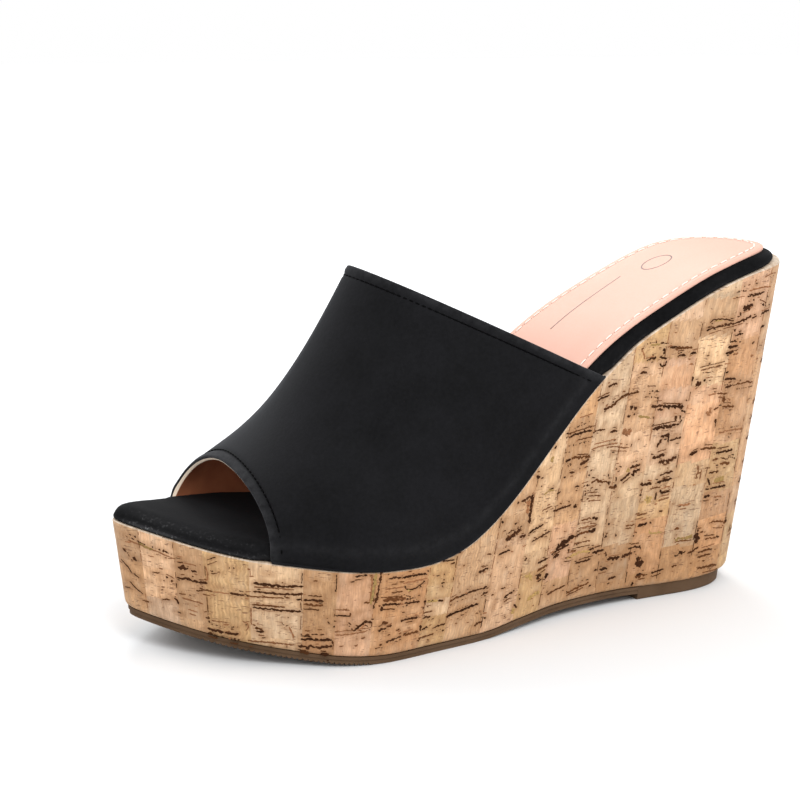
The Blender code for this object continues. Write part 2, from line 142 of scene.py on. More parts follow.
def natural_spline(rows, column):
    xs = np.array([row[0] for row in rows])
    ys = np.array([getattr(row, column) for row in rows])
    steps = np.diff(xs)
    count = len(xs)
    matrix = np.eye(count)
    right = np.zeros(count)
    for i in range(1, count - 1):
        matrix[i, i - 1 : i + 2] = steps[i - 1], 2 * (steps[i - 1] + steps[i]), steps[i]
        right[i] = 6 * ((ys[i + 1] - ys[i]) / steps[i] - (ys[i] - ys[i - 1]) / steps[i - 1])
    bends = np.linalg.solve(matrix, right)

    def value(x):
        i = int(min(max(np.searchsorted(xs, x) - 1, 0), count - 2))
        a, b, step = xs[i + 1] - x, x - xs[i], steps[i]
        curved = (bends[i] * a**3 + bends[i + 1] * b**3) / (6 * step)
        left = (ys[i] / step - bends[i] * step / 6) * a
        return float(curved + left + (ys[i + 1] / step - bends[i + 1] * step / 6) * b)

    return value


def flat_keeping_curve(rows, column):
    xs = [row[0] for row in rows]
    ys = [getattr(row, column) for row in rows]
    steps = np.diff(xs)
    slopes = np.diff(ys) / steps
    tangents = np.zeros(len(xs))
    for i in range(1, len(xs) - 1):
        if slopes[i - 1] * slopes[i] > 0:
            tangents[i] = 2 * slopes[i - 1] * slopes[i] / (slopes[i - 1] + slopes[i])
    tangents[-1] = slopes[-1]

    def value(x):
        i = int(min(max(np.searchsorted(xs, x) - 1, 0), len(xs) - 2))
        t = (min(max(x, xs[0]), xs[-1]) - xs[i]) / steps[i]
        start = (1 + 2 * t) * (1 - t) ** 2 * ys[i] + t * (1 - t) ** 2 * steps[i] * tangents[i]
        end = t * t * (3 - 2 * t) * ys[i + 1] + t * t * (t - 1) * steps[i] * tangents[i + 1]
        return float(start + end)

    return value


centre_share = natural_spline(OUTLINE, "centre")
width_share = natural_spline(OUTLINE, "half_width")
heel_share = natural_spline(TOP_PROFILE, "heel_share")
toe_share = flat_keeping_curve(TOP_PROFILE, "toe_share")
arch_share = flat_keeping_curve(BOTTOM_PROFILE, "arch_share")
spring_share = flat_keeping_curve(BOTTOM_PROFILE, "spring_share")
girth_curves = {name: natural_spline(GIRTHS, name) for name in GirthRow._fields[1:]}


def mix(a, b, t):
    return a + (b - a) * t


def smooth_step(t):
    t = min(max(t, 0.0), 1.0)
    return t * t * (3 - 2 * t)


def end_rounding(station):
    toe_distance, heel_distance = 1 - station, station
    if heel_distance < HEEL_ROUND_SHARE:
        power, share = HEEL_ROUNDNESS, 1 - heel_distance / HEEL_ROUND_SHARE
    elif toe_distance < TOE_ROUND_SHARE:
        power, share = TOE_ROUNDNESS, 1 - toe_distance / TOE_ROUND_SHARE
    else:
        return 1.0
    return max(0.0, 1 - share**power) ** (1 / power)


def end_pull(station):
    heel = max(0.0, 1 - station / HEEL_ROUND_SHARE)
    toe = max(0.0, 1 - (1 - station) / TOE_ROUND_SHARE)
    return heel - toe


def station_of(x):
    return x / WEDGE_LENGTH + 0.5


def centre_line(station):
    return centre_share(station) * BALL_WIDTH - MIDDLE_SHIFT


def top_edge(station, side, inset):
    x = WEDGE_LENGTH * (station - 0.5) + inset * end_pull(station)
    half = end_rounding(station) * (width_share(station) * BALL_WIDTH - inset)
    return x, centre_line(station) + side * half


def bottom_edge(station, side, inset):
    x = mix(-WEDGE_LENGTH / 2 + HEEL_BATTER, WEDGE_LENGTH / 2 - TOE_BATTER, station)
    x += inset * end_pull(station)
    along_lean = (station - HEEL_LEAN_SHARE) / (BALL_LEAN_SHARE - HEEL_LEAN_SHARE)
    lean = mix(HEEL_SIDE_INSET, BALL_SIDE_INSET, smooth_step(along_lean))
    half = end_rounding(station) * (width_share(station) * BALL_WIDTH - lean - inset)
    return x, centre_line(station) + side * half


def top_height(x):
    station = station_of(x)
    heel_rise = (HEEL_HEIGHT - PLATFORM_HEIGHT) * heel_share(station)
    return PLATFORM_HEIGHT + heel_rise + TOE_LIFT * toe_share(station)


def underside_height(x):
    station = station_of(x)
    return ARCH_RISE * arch_share(station) + TOE_SPRING * spring_share(station)


def wrap_bottom(x):
    """The sheet nearly closes the solids' gap above the sole."""
    return cork_bottom_height(x) - 0.00024


def cork_bottom_height(x):
    return underside_height(x) + OUTSOLE_THICKNESS + FIT_GAP


def top_slope_axes(x):
    reach = 0.0005
    along = Vector((2 * reach, 0, top_height(x + reach) - top_height(x - reach))).normalized()
    return along, Vector((-along.z, 0, along.x))


def on_top(xy, height):
    x, y = xy
    _, up = top_slope_axes(x)
    return Vector((x, y, top_height(x))) + up * height


# Mesh helpers


def build_mesh(name, points, faces, materials, face_slots=None, sharp=50):
    mesh = bpy.data.meshes.new(name)
    mesh.from_pydata([tuple(map(float, p)) for p in points], [], faces)
    for made in materials:
        mesh.materials.append(made)
    if face_slots is not None:
        mesh.polygons.foreach_set("material_index", np.asarray(face_slots, np.int32))
    mesh.update()
    mesh.shade_smooth()
    mesh.set_sharp_from_angle(angle=math.radians(sharp))
    obj = bpy.data.objects.new(name, mesh)
    bpy.context.scene.collection.objects.link(obj)
    return obj


def ring_faces(rows, columns):
    """Quads between rows of points that close on themselves."""
    faces = []
    for i in range(rows - 1):
        for j in range(columns):
            k = (j + 1) % columns
            a, b = i * columns, (i + 1) * columns
            faces.append((a + j, a + k, b + k, b + j))
    return faces


def end_face(corners, flip):
    """One face of a closed end, without the corner that repeats where the ring turns back."""
    face = list(dict.fromkeys(corners))
    return tuple(face[::-1] if flip else face)


def cap_faces(start, half, flip):
    """A closed end across a ring of 2 * half points: point j meets point 2 * half - j."""
    count = 2 * half
    faces = []
    for j in range(half):
        far = start + (count - j - 1) % count, start + (count - j) % count
        faces.append(end_face((start + j, start + j + 1, *far), flip))
    return faces


def outline_stations(count, end=1.0):
    """Stations at even steps along the cork's top outline."""
    fine = [0.5 * (1 - math.cos(math.pi * i / 4000)) for i in range(4001)]
    fine = [s for s in fine if s < end] + [end]
    spots = [[(*top_edge(s, side, 0), 0) for s in fine] for side in (1, -1)]
    steps = sum(np.linalg.norm(np.diff(np.array(line), axis=0), axis=1) for line in spots)
    lengths = np.concatenate([[0], np.cumsum(steps)])
    return np.interp(np.linspace(0, lengths[-1], count + 1), lengths, fine)


def stacked(name, stations, levels, materials, sharp):
    """A closed body from outline levels, bottom to top. A level is a function (station, side)."""
    rows = []
    for level in levels:
        lateral = [level(s, 1) for s in stations]
        medial = [level(s, -1) for s in stations[-2:0:-1]]
        rows.append(lateral + medial)
    return stacked_rows(name, rows, len(stations) - 1, materials, sharp)


def stacked_rows(name, rows, half, materials, sharp=50):
    columns = 2 * half
    faces = ring_faces(len(rows), columns)
    faces += cap_faces(0, half, True) + cap_faces((len(rows) - 1) * columns, half, False)
    # The rows run clockwise from above, so the faces are turned round to look outwards
    faces = [face[::-1] for face in faces]
    return build_mesh(name, [p for row in rows for p in row], faces, materials, None, sharp)


def open_stacked(name, stations, levels, materials):
    """Like stacked, for a body that ends square at its last station, as the sock does."""
    half = len(stations)
    rows = []
    for level in levels:
        lateral = [level(s, 1) for s in stations]
        medial = [level(s, -1) for s in stations[::-1][:-1]]
        rows.append(lateral + medial)
    columns = 2 * half - 1
    faces = ring_faces(len(rows), columns)
    for row, flip in ((0, True), (len(rows) - 1, False)):
        start = row * columns
        for j in range(half - 1):
            far = start + columns - 1 - j, start + (columns - j) % columns
            faces.append(end_face((start + j, start + j + 1, *far), flip))
    faces = [face[::-1] for face in faces]
    return build_mesh(name, [p for row in rows for p in row], faces, materials)


def join_tubes(name, tubes, materials):
    """Closed tubes, each a list of equal rings, in one mesh. One that ends on its first ring is a loop."""
    points, faces = [], []
    for rings in tubes:
        loop = rings[0] is rings[-1]
        rings = rings[:-1] if loop else rings
        base, count = len(points), len(rings[0])
        for ring in rings:
            points += ring
        for i in range(len(rings) if loop else len(rings) - 1):
            here, there = base + i * count, base + (i + 1) % len(rings) * count
            for k in range(count):
                m = (k + 1) % count
                faces.append((here + k, here + m, there + m, there + k))
        if not loop:
            last = base + (len(rings) - 1) * count
            faces.append(tuple(base + k for k in reversed(range(count))))
            faces.append(tuple(last + k for k in range(count)))
    return build_mesh(name, points, faces, materials, None, 60)


# Materials


class Shader:
    """A principled material with short calls for the nodes used here."""

    def __init__(self, name, colour, roughness, **sockets):
        self.material = bpy.data.materials.new(name)
        self.material.use_nodes = True
        self.tree = self.material.node_tree
        self.shader = self.tree.nodes["Principled BSDF"]
        self.set("Base Color", (*colour, 1))
        self.set("Roughness", roughness)
        for socket, value in sockets.items():
            self.set(socket.replace("_", " "), value)
        self.material.diffuse_color = (*colour, 1)

    def set(self, socket, value):
        if hasattr(value, "links") or hasattr(value, "is_output"):
            self.tree.links.new(value, self.shader.inputs[socket])
        else:
            self.shader.inputs[socket].default_value = value

    def node(self, kind, **settings):
        made = self.tree.nodes.new("ShaderNode" + kind)
        for key, value in settings.items():
            setattr(made, key, value)
        return made

    def feed(self, node, index, value):
        socket = node.inputs[index]
        if hasattr(value, "is_output"):
            self.tree.links.new(value, socket)
        else:
            socket.default_value = value

    def math(self, operation, a, b=0.0, clamp=False):
        made = self.node("Math", operation=operation, use_clamp=clamp)
        self.feed(made, 0, a)
        self.feed(made, 1, b)
        return made.outputs[0]

    def blend(self, factor, a, b, kind="MIX"):
        made = self.node("Mix", data_type="RGBA", blend_type=kind)
        self.feed(made, 0, factor)
        self.feed(made, 6, a)
        self.feed(made, 7, b)
        return made.outputs[2]

    def ramp(self, value, low, high, out_low=0.0, out_high=1.0):
        made = self.node("MapRange")
        made.clamp = True
        for index, entry in enumerate((value, low, high, out_low, out_high)):
            self.feed(made, index, entry)
        return made.outputs[0]

    def noise(self, vector, scale, detail=2.0, roughness=0.5):
        made = self.node("TexNoise")
        if vector is not None:
            self.tree.links.new(vector, made.inputs["Vector"])
        made.inputs["Scale"].default_value = scale
        made.inputs["Detail"].default_value = detail
        made.inputs["Roughness"].default_value = roughness
        return made.outputs[0]

    def place(self):
        return self.node("TexCoord").outputs["Object"]

    def stretch(self, vector, scale):
        made = self.node("Mapping")
        self.tree.links.new(vector, made.inputs["Vector"])
        made.inputs["Scale"].default_value = scale
        return made.outputs[0]

    def bump(self, height, distance, strength=1.0):
        made = self.node("Bump")
        made.inputs["Strength"].default_value = strength
        made.inputs["Distance"].default_value = distance
        self.tree.links.new(height, made.inputs["Height"])
        self.tree.links.new(made.outputs[0], self.shader.inputs["Normal"])


def nubuck_material(name, dark, light, wear_and_highlight_colour, sheen, gloss, patch_scale=380, patch_from=0.36):
    shader = Shader(name, dark, 0.85)
    shader.set("Specular IOR Level", gloss)
    shader.set("Sheen Weight", sheen)
    shader.set("Sheen Roughness", 0.45)
    shader.set("Sheen Tint", (0.72, 0.74, 0.80, 1))
    place = shader.place()
    cloud = shader.noise(place, 70, 3.0, 0.6)
    nap = shader.noise(place, 900, 2.0, 0.6)
    fine = shader.noise(place, 3200, 2.0, 0.6)
    tone = shader.math("ADD", shader.math("MULTIPLY", cloud, 0.65), shader.math("MULTIPLY", nap, 0.35))
    colour = shader.blend(shader.ramp(tone, 0.35, 0.66), (*dark, 1), (*light, 1))
    # Edges go paler and a little glossier in patches: partly wear, partly painted highlight and glints on
    # rolled edges
    wear_and_highlight = shader.node("Attribute", attribute_name="wear_and_highlight").outputs["Fac"]
    patch = shader.ramp(shader.noise(place, patch_scale, 3.0, 0.65), patch_from, 0.66)
    wear_and_highlight_mask = shader.math("MULTIPLY", wear_and_highlight, shader.math("ADD", shader.math("MULTIPLY", patch, 0.8), 0.2), True)
    shader.set("Base Color", shader.blend(wear_and_highlight_mask, colour, (*wear_and_highlight_colour, 1)))
    matt = shader.ramp(cloud, 0.3, 0.7, 0.76, 0.92)
    shader.set("Roughness", shader.math("SUBTRACT", matt, shader.math("MULTIPLY", wear_and_highlight_mask, 0.32)))
    height = shader.math("ADD", shader.math("MULTIPLY", nap, 0.5), shader.math("MULTIPLY", fine, 0.5))
    shader.bump(height, 0.00012, 0.55)
    return shader.material


def cork_material():
    shader = Shader("cork_sheet", (0.55, 0.33, 0.17), 0.6)
    shader.set("Specular IOR Level", 0.32)
    uv = shader.node("UVMap", uv_map="cork_map").outputs[0]
    tone = shader.node("Attribute", attribute_name="tone")
    stain = shader.node("Attribute", attribute_name="stain")
    split = shader.node("SeparateXYZ")
    shader.tree.links.new(uv, split.inputs[0])
    around, height = split.outputs[0], split.outputs[1]
    seed = tone.outputs["Alpha"]

    def space(u_scale, v_scale, shift=0.0):
        made = shader.node("CombineXYZ")
        shader.feed(made, 0, shader.math("MULTIPLY", around, u_scale))
        shader.feed(made, 1, shader.math("MULTIPLY", height, v_scale))
        shader.feed(made, 2, shader.math("ADD", shader.math("MULTIPLY", seed, 37.0), shift))
        return made.outputs[0]

    # The grain runs up the sheet, and waves in some strips. The map is in centimetres.
    sway = shader.noise(space(0.8, 3.4), 1.0, 2.0)
    wavy = shader.ramp(seed, 0.40, 0.95, 0.06, 0.50)
    moved = shader.math("MULTIPLY", shader.math("SUBTRACT", sway, 0.5), wavy)
    bent = shader.node("CombineXYZ")
    shader.feed(bent, 0, shader.math("MULTIPLY", shader.math("ADD", around, moved), 8.0))
    shader.feed(bent, 1, shader.math("MULTIPLY", height, 1.15))
    shader.feed(bent, 2, shader.math("MULTIPLY", seed, 53.0))
    grain = shader.noise(bent.outputs[0], 1.0, 3.0, 0.62)
    fibre = shader.noise(shader.stretch(bent.outputs[0], (3.1, 2.6, 1)), 1.0, 2.0, 0.6)
    swayed = shader.math("ADD", around, shader.math("MULTIPLY", moved, 0.55))
    phase = shader.math("MULTIPLY", swayed, 2 * math.pi * 8.6)
    ripple = shader.ramp(shader.math("SINE", phase), -1.0, 1.0, 0.86, 1.08)
    rippled = shader.ramp(seed, 0.70, 0.88)
    body = shader.ramp(grain, 0.28, 0.74)
    colour = shader.blend(body, (0.79, 0.73, 0.66, 1), (1.15, 1.16, 1.17, 1))
    colour = shader.blend(1.0, tone.outputs["Color"], colour, "MULTIPLY")
    thread = shader.ramp(fibre, 0.36, 0.66, 0.84, 1.10)
    mottle = shader.ramp(shader.noise(space(5.2, 4.4, 15.0), 1.0, 4.0, 0.65), 0.3, 0.72, 0.84, 1.14)
    thread = shader.math("MULTIPLY", thread, mottle)
    ripple_share = shader.math("SUBTRACT", 1.0, rippled)
    waves = shader.math("ADD", shader.math("MULTIPLY", ripple, rippled), ripple_share)
    thread = shader.math("MULTIPLY", thread, waves)
    thread_colour = shader.node("CombineColor")
    for index in range(3):
        shader.feed(thread_colour, index, thread)
    colour = shader.blend(1.0, colour, thread_colour.outputs[0], "MULTIPLY")
    # Clouds of a warmer, a paler and a greyer cork
    cloud = shader.noise(space(0.9, 1.5, 5.0), 1.0, 3.0)
    colour = shader.blend(shader.ramp(cloud, 0.48, 0.75, 0.0, 0.30), colour, (0.40, 0.205, 0.09, 1))
    pale = shader.noise(space(1.6, 1.1, 11.0), 1.0, 3.0)
    colour = shader.blend(shader.ramp(pale, 0.52, 0.78, 0.0, 0.30), colour, (0.72, 0.52, 0.345, 1))
    ash = shader.noise(space(2.6, 0.8, 21.0), 1.0, 3.0, 0.6)
    colour = shader.blend(shader.ramp(ash, 0.58, 0.80, 0.0, 0.40), colour, (0.33, 0.25, 0.175, 1))
    # Pores: short dark flecks across the grain, in clusters
    fleck = shader.noise(space(4.2, 19.0, 3.0), 1.0, 2.0, 0.55)
    cluster = shader.noise(space(1.1, 1.0, 7.0), 1.0, 2.0)
    flecks = shader.math("MULTIPLY", shader.ramp(fleck, 0.60, 0.66), shader.ramp(cluster, 0.44, 0.58))
    pin = shader.noise(space(9.0, 14.0, 9.0), 1.0, 1.0)
    pins = shader.math("MULTIPLY", shader.ramp(pin, 0.68, 0.74), 0.7)
    pores = shader.math("MAXIMUM", flecks, pins, True)
    colour = shader.blend(shader.math("MULTIPLY", pores, 0.72), colour, (0.15, 0.065, 0.03, 1))
    # Stain round the bark marks
    colour = shader.blend(stain.outputs["Fac"], colour, (0.25, 0.115, 0.042, 1))
    shader.set("Base Color", colour)
    shader.set("Roughness", shader.ramp(grain, 0.3, 0.7, 0.66, 0.52))
    relief = shader.math("SUBTRACT", shader.math("MULTIPLY", grain, 0.5), pores)
    relief = shader.math("ADD", relief, shader.math("MULTIPLY", fibre, 0.3))
    shader.bump(relief, 0.00018, 0.7)
    return shader.material


def ink_material():
    shader = Shader("cork_bark", (0.05, 0.022, 0.010), 0.85)
    shader.set("Specular IOR Level", 0.04)
    ink = shader.node("Attribute", attribute_name="ink")
    place = shader.place()
    speck = shader.noise(place, 1500, 2.0)
    flicker = shader.blend(speck, (0.5, 0.5, 0.5, 1), (1.7, 1.6, 1.5, 1))
    colour = shader.blend(1.0, ink.outputs["Color"], flicker, "MULTIPLY")
    shader.set("Base Color", colour)
    shader.bump(speck, 0.0001, 0.6)
    return shader.material


def rubber_material():
    shader = Shader("sole_rubber", (0.105, 0.058, 0.033), 0.6)
    shader.set("Specular IOR Level", 0.05)
    place = shader.place()
    cloud = shader.noise(place, 60, 3.0)
    fine = shader.noise(place, 1400, 3.0)
    colour = shader.blend(shader.ramp(cloud, 0.3, 0.7), (0.082, 0.048, 0.027, 1), (0.120, 0.074, 0.044, 1))
    shader.set("Base Color", colour)
    shader.set("Roughness", shader.ramp(fine, 0.3, 0.7, 0.5, 0.72))
    shader.bump(fine, 0.00008, 0.5)
    return shader.material


def sock_material():
    shader = Shader("sock_sheet", (0.80, 0.565, 0.44), 0.55)
    shader.set("Specular IOR Level", 0.3)
    place = shader.place()
    cloud = shader.noise(place, 45, 2.0)
    grain = shader.noise(place, 1500, 3.0)
    tint = shader.blend(shader.ramp(cloud, 0.3, 0.7), (0.665, 0.380, 0.292, 1), (0.700, 0.405, 0.315, 1))
    shader.set("Base Color", tint)
    shader.set("Roughness", shader.ramp(grain, 0.3, 0.7, 0.5, 0.66))
    shader.bump(grain, 0.00006, 0.35)
    return shader.material


def lining_material():
    shader = Shader("vamp_lining", (0.36, 0.165, 0.085), 0.8)
    shader.set("Specular IOR Level", 0.2)
    place = shader.place()
    cloud = shader.noise(place, 120, 3.0)
    grain = shader.noise(place, 1700, 3.0)
    tint = shader.blend(shader.ramp(cloud, 0.3, 0.7), (0.26, 0.088, 0.040, 1), (0.36, 0.128, 0.058, 1))
    shader.set("Base Color", tint)
    shader.bump(grain, 0.0001, 0.5)
    return shader.material


def plain_material(name, colour, roughness, grain_scale=1500, depth=0.00005, gloss=0.25):
    shader = Shader(name, colour, roughness)
    shader.set("Specular IOR Level", gloss)
    grain = shader.noise(shader.place(), grain_scale, 2.0)
    darker = tuple(c * 0.82 for c in colour)
    shader.set("Base Color", shader.blend(grain, (*darker, 1), (*colour, 1)))
    shader.bump(grain, depth, 0.5)
    return shader.material


NUBUCK = nubuck_material(
    "black_nubuck",
    dark=(0.0037, 0.0037, 0.0041),
    light=(0.0080, 0.0080, 0.0090),
    wear_and_highlight_colour=(0.028, 0.028, 0.030),
    sheen=0.115,
    gloss=0.05,
)
# The footbed's pale colour along its edges stands in partly for scuffs, partly for painted glints
FOOTBED_NUBUCK = nubuck_material(
    "footbed_nubuck",
    dark=(0.0028, 0.0028, 0.0031),
    light=(0.0074, 0.0074, 0.0081),
    wear_and_highlight_colour=(0.20, 0.20, 0.205),
    sheen=0.022,
    gloss=0.03,
    patch_scale=1000,
    patch_from=0.57,
)
CORK = cork_material()
BARK = ink_material()
RUBBER = rubber_material()
SOCK = sock_material()
LINING = lining_material()
LINING_EDGE = plain_material("lining_edge", (0.80, 0.66, 0.52), 0.7)
BLACK_THREAD = plain_material("black_thread", (0.0016, 0.0016, 0.0018), 0.6, 4000, 0.00004, 0.03)
WHITE_THREAD = plain_material("white_thread", (0.96, 0.87, 0.80), 0.6, 4000, 0.00004)
PRINT = plain_material("sock_print", (0.165, 0.115, 0.095), 0.5)
# Needle holes are not cut: small capsules at the stitch ends carry the holes' painted shade in these darker
# colours
HOLE = plain_material("needle_hole", (0.52, 0.31, 0.24), 0.8, 4000, 0.00002, 0.05)
BLACK_HOLE = plain_material("black_needle_hole", (0.0008, 0.0008, 0.0009), 0.9, 4000, 0.00002, 0.0)


# Cork wrap

# Strips of cork sheet on the lateral side, heel to toe: where each begins and its tone
Strip = namedtuple("Strip", "start tone seed")
TONES = {
    "tan": (0.515, 0.305, 0.158),
    "pink": (0.635, 0.400, 0.240),
    "pale": (0.650, 0.440, 0.262),
    "gold": (0.560, 0.352, 0.168),
    "orange": (0.505, 0.275, 0.135),
    "grey": (0.520, 0.352, 0.208),
    "rose": (0.600, 0.350, 0.208),
    "brown": (0.440, 0.245, 0.115),
    "edge": (0.52, 0.43, 0.34),
}
LATERAL_STRIPS = [
    Strip(0.0, "tan", 0.30),
    Strip(12.5, "orange", 0.66),
    Strip(26.5, "grey", 0.80),
    Strip(39.5, "pink", 0.12),
    Strip(52.5, "pink", 0.40),
    Strip(65.5, "pale", 0.22),
    Strip(78.5, "tan", 0.08),
    Strip(91.0, "pale", 0.33),
    Strip(102.5, "pink", 0.18),
    Strip(116.5, "tan", 0.93),
    Strip(131.5, "gold", 0.61),
    Strip(141.0, "orange", 0.15),
    Strip(159.0, "rose", 0.10),
    Strip(170.0, "brown", 0.45),
    Strip(178.8, "pale", 0.28),
    Strip(192.0, "gold", 0.90),
    Strip(203.0, "tan", 0.50),
    Strip(210.0, "pink", 0.20),
    Strip(217.5, "tan", 0.65),
]
# Blocks within the strips that differ: stations, heights and tone
Block = namedtuple("Block", "start end low high tone seed")
LATERAL_BLOCKS = [
    Block(0.0, 12.5, 0, 24.0, "gold", 0.36),
    Block(12.5, 26.5, 84.0, 106.0, "rose", 0.30),
    Block(12.5, 26.5, 34.0, 50.0, "gold", 0.44),
    Block(12.5, 26.5, 0, 15.0, "brown", 0.60),
    Block(26.5, 39.5, 86.0, 98.0, "tan", 0.30),
    Block(26.5, 39.5, 70.0, 86.0, "pale", 0.26),
    Block(26.5, 39.5, 45.0, 70.0, "rose", 0.52),
    Block(26.5, 39.5, 0, 17.0, "brown", 0.35),
    Block(39.5, 52.5, 80.0, 92.0, "tan", 0.50),
    Block(39.5, 52.5, 61.0, 80.0, "rose", 0.14),
    Block(39.5, 52.5, 34.0, 46.0, "pale", 0.20),
    Block(39.5, 52.5, 28.0, 34.0, "gold", 0.60),
    Block(39.5, 52.5, 10.0, 28.0, "orange", 0.35),
    Block(39.5, 52.5, 0, 10.0, "brown", 0.30),
    Block(52.5, 65.5, 80.0, 92.0, "gold", 0.47),
    Block(52.5, 65.5, 21.0, 44.0, "grey", 0.62),
    Block(52.5, 65.5, 0, 21.0, "brown", 0.25),
    Block(65.5, 78.5, 0, 22.0, "tan", 0.57),
    Block(78.5, 91.0, 14.0, 32.0, "rose", 0.25),
    Block(91.0, 102.5, 0, 19.0, "gold", 0.36),
    Block(102.5, 116.5, 32.0, 60.0, "tan", 0.57),
    Block(141.0, 156.0, 0, 11.0, "orange", 0.24),
    Block(170.0, 178.8, 0, 11.0, "orange", 0.66),
    Block(131.5, 141.0, 12.0, 17.0, "pale", 0.44),
]

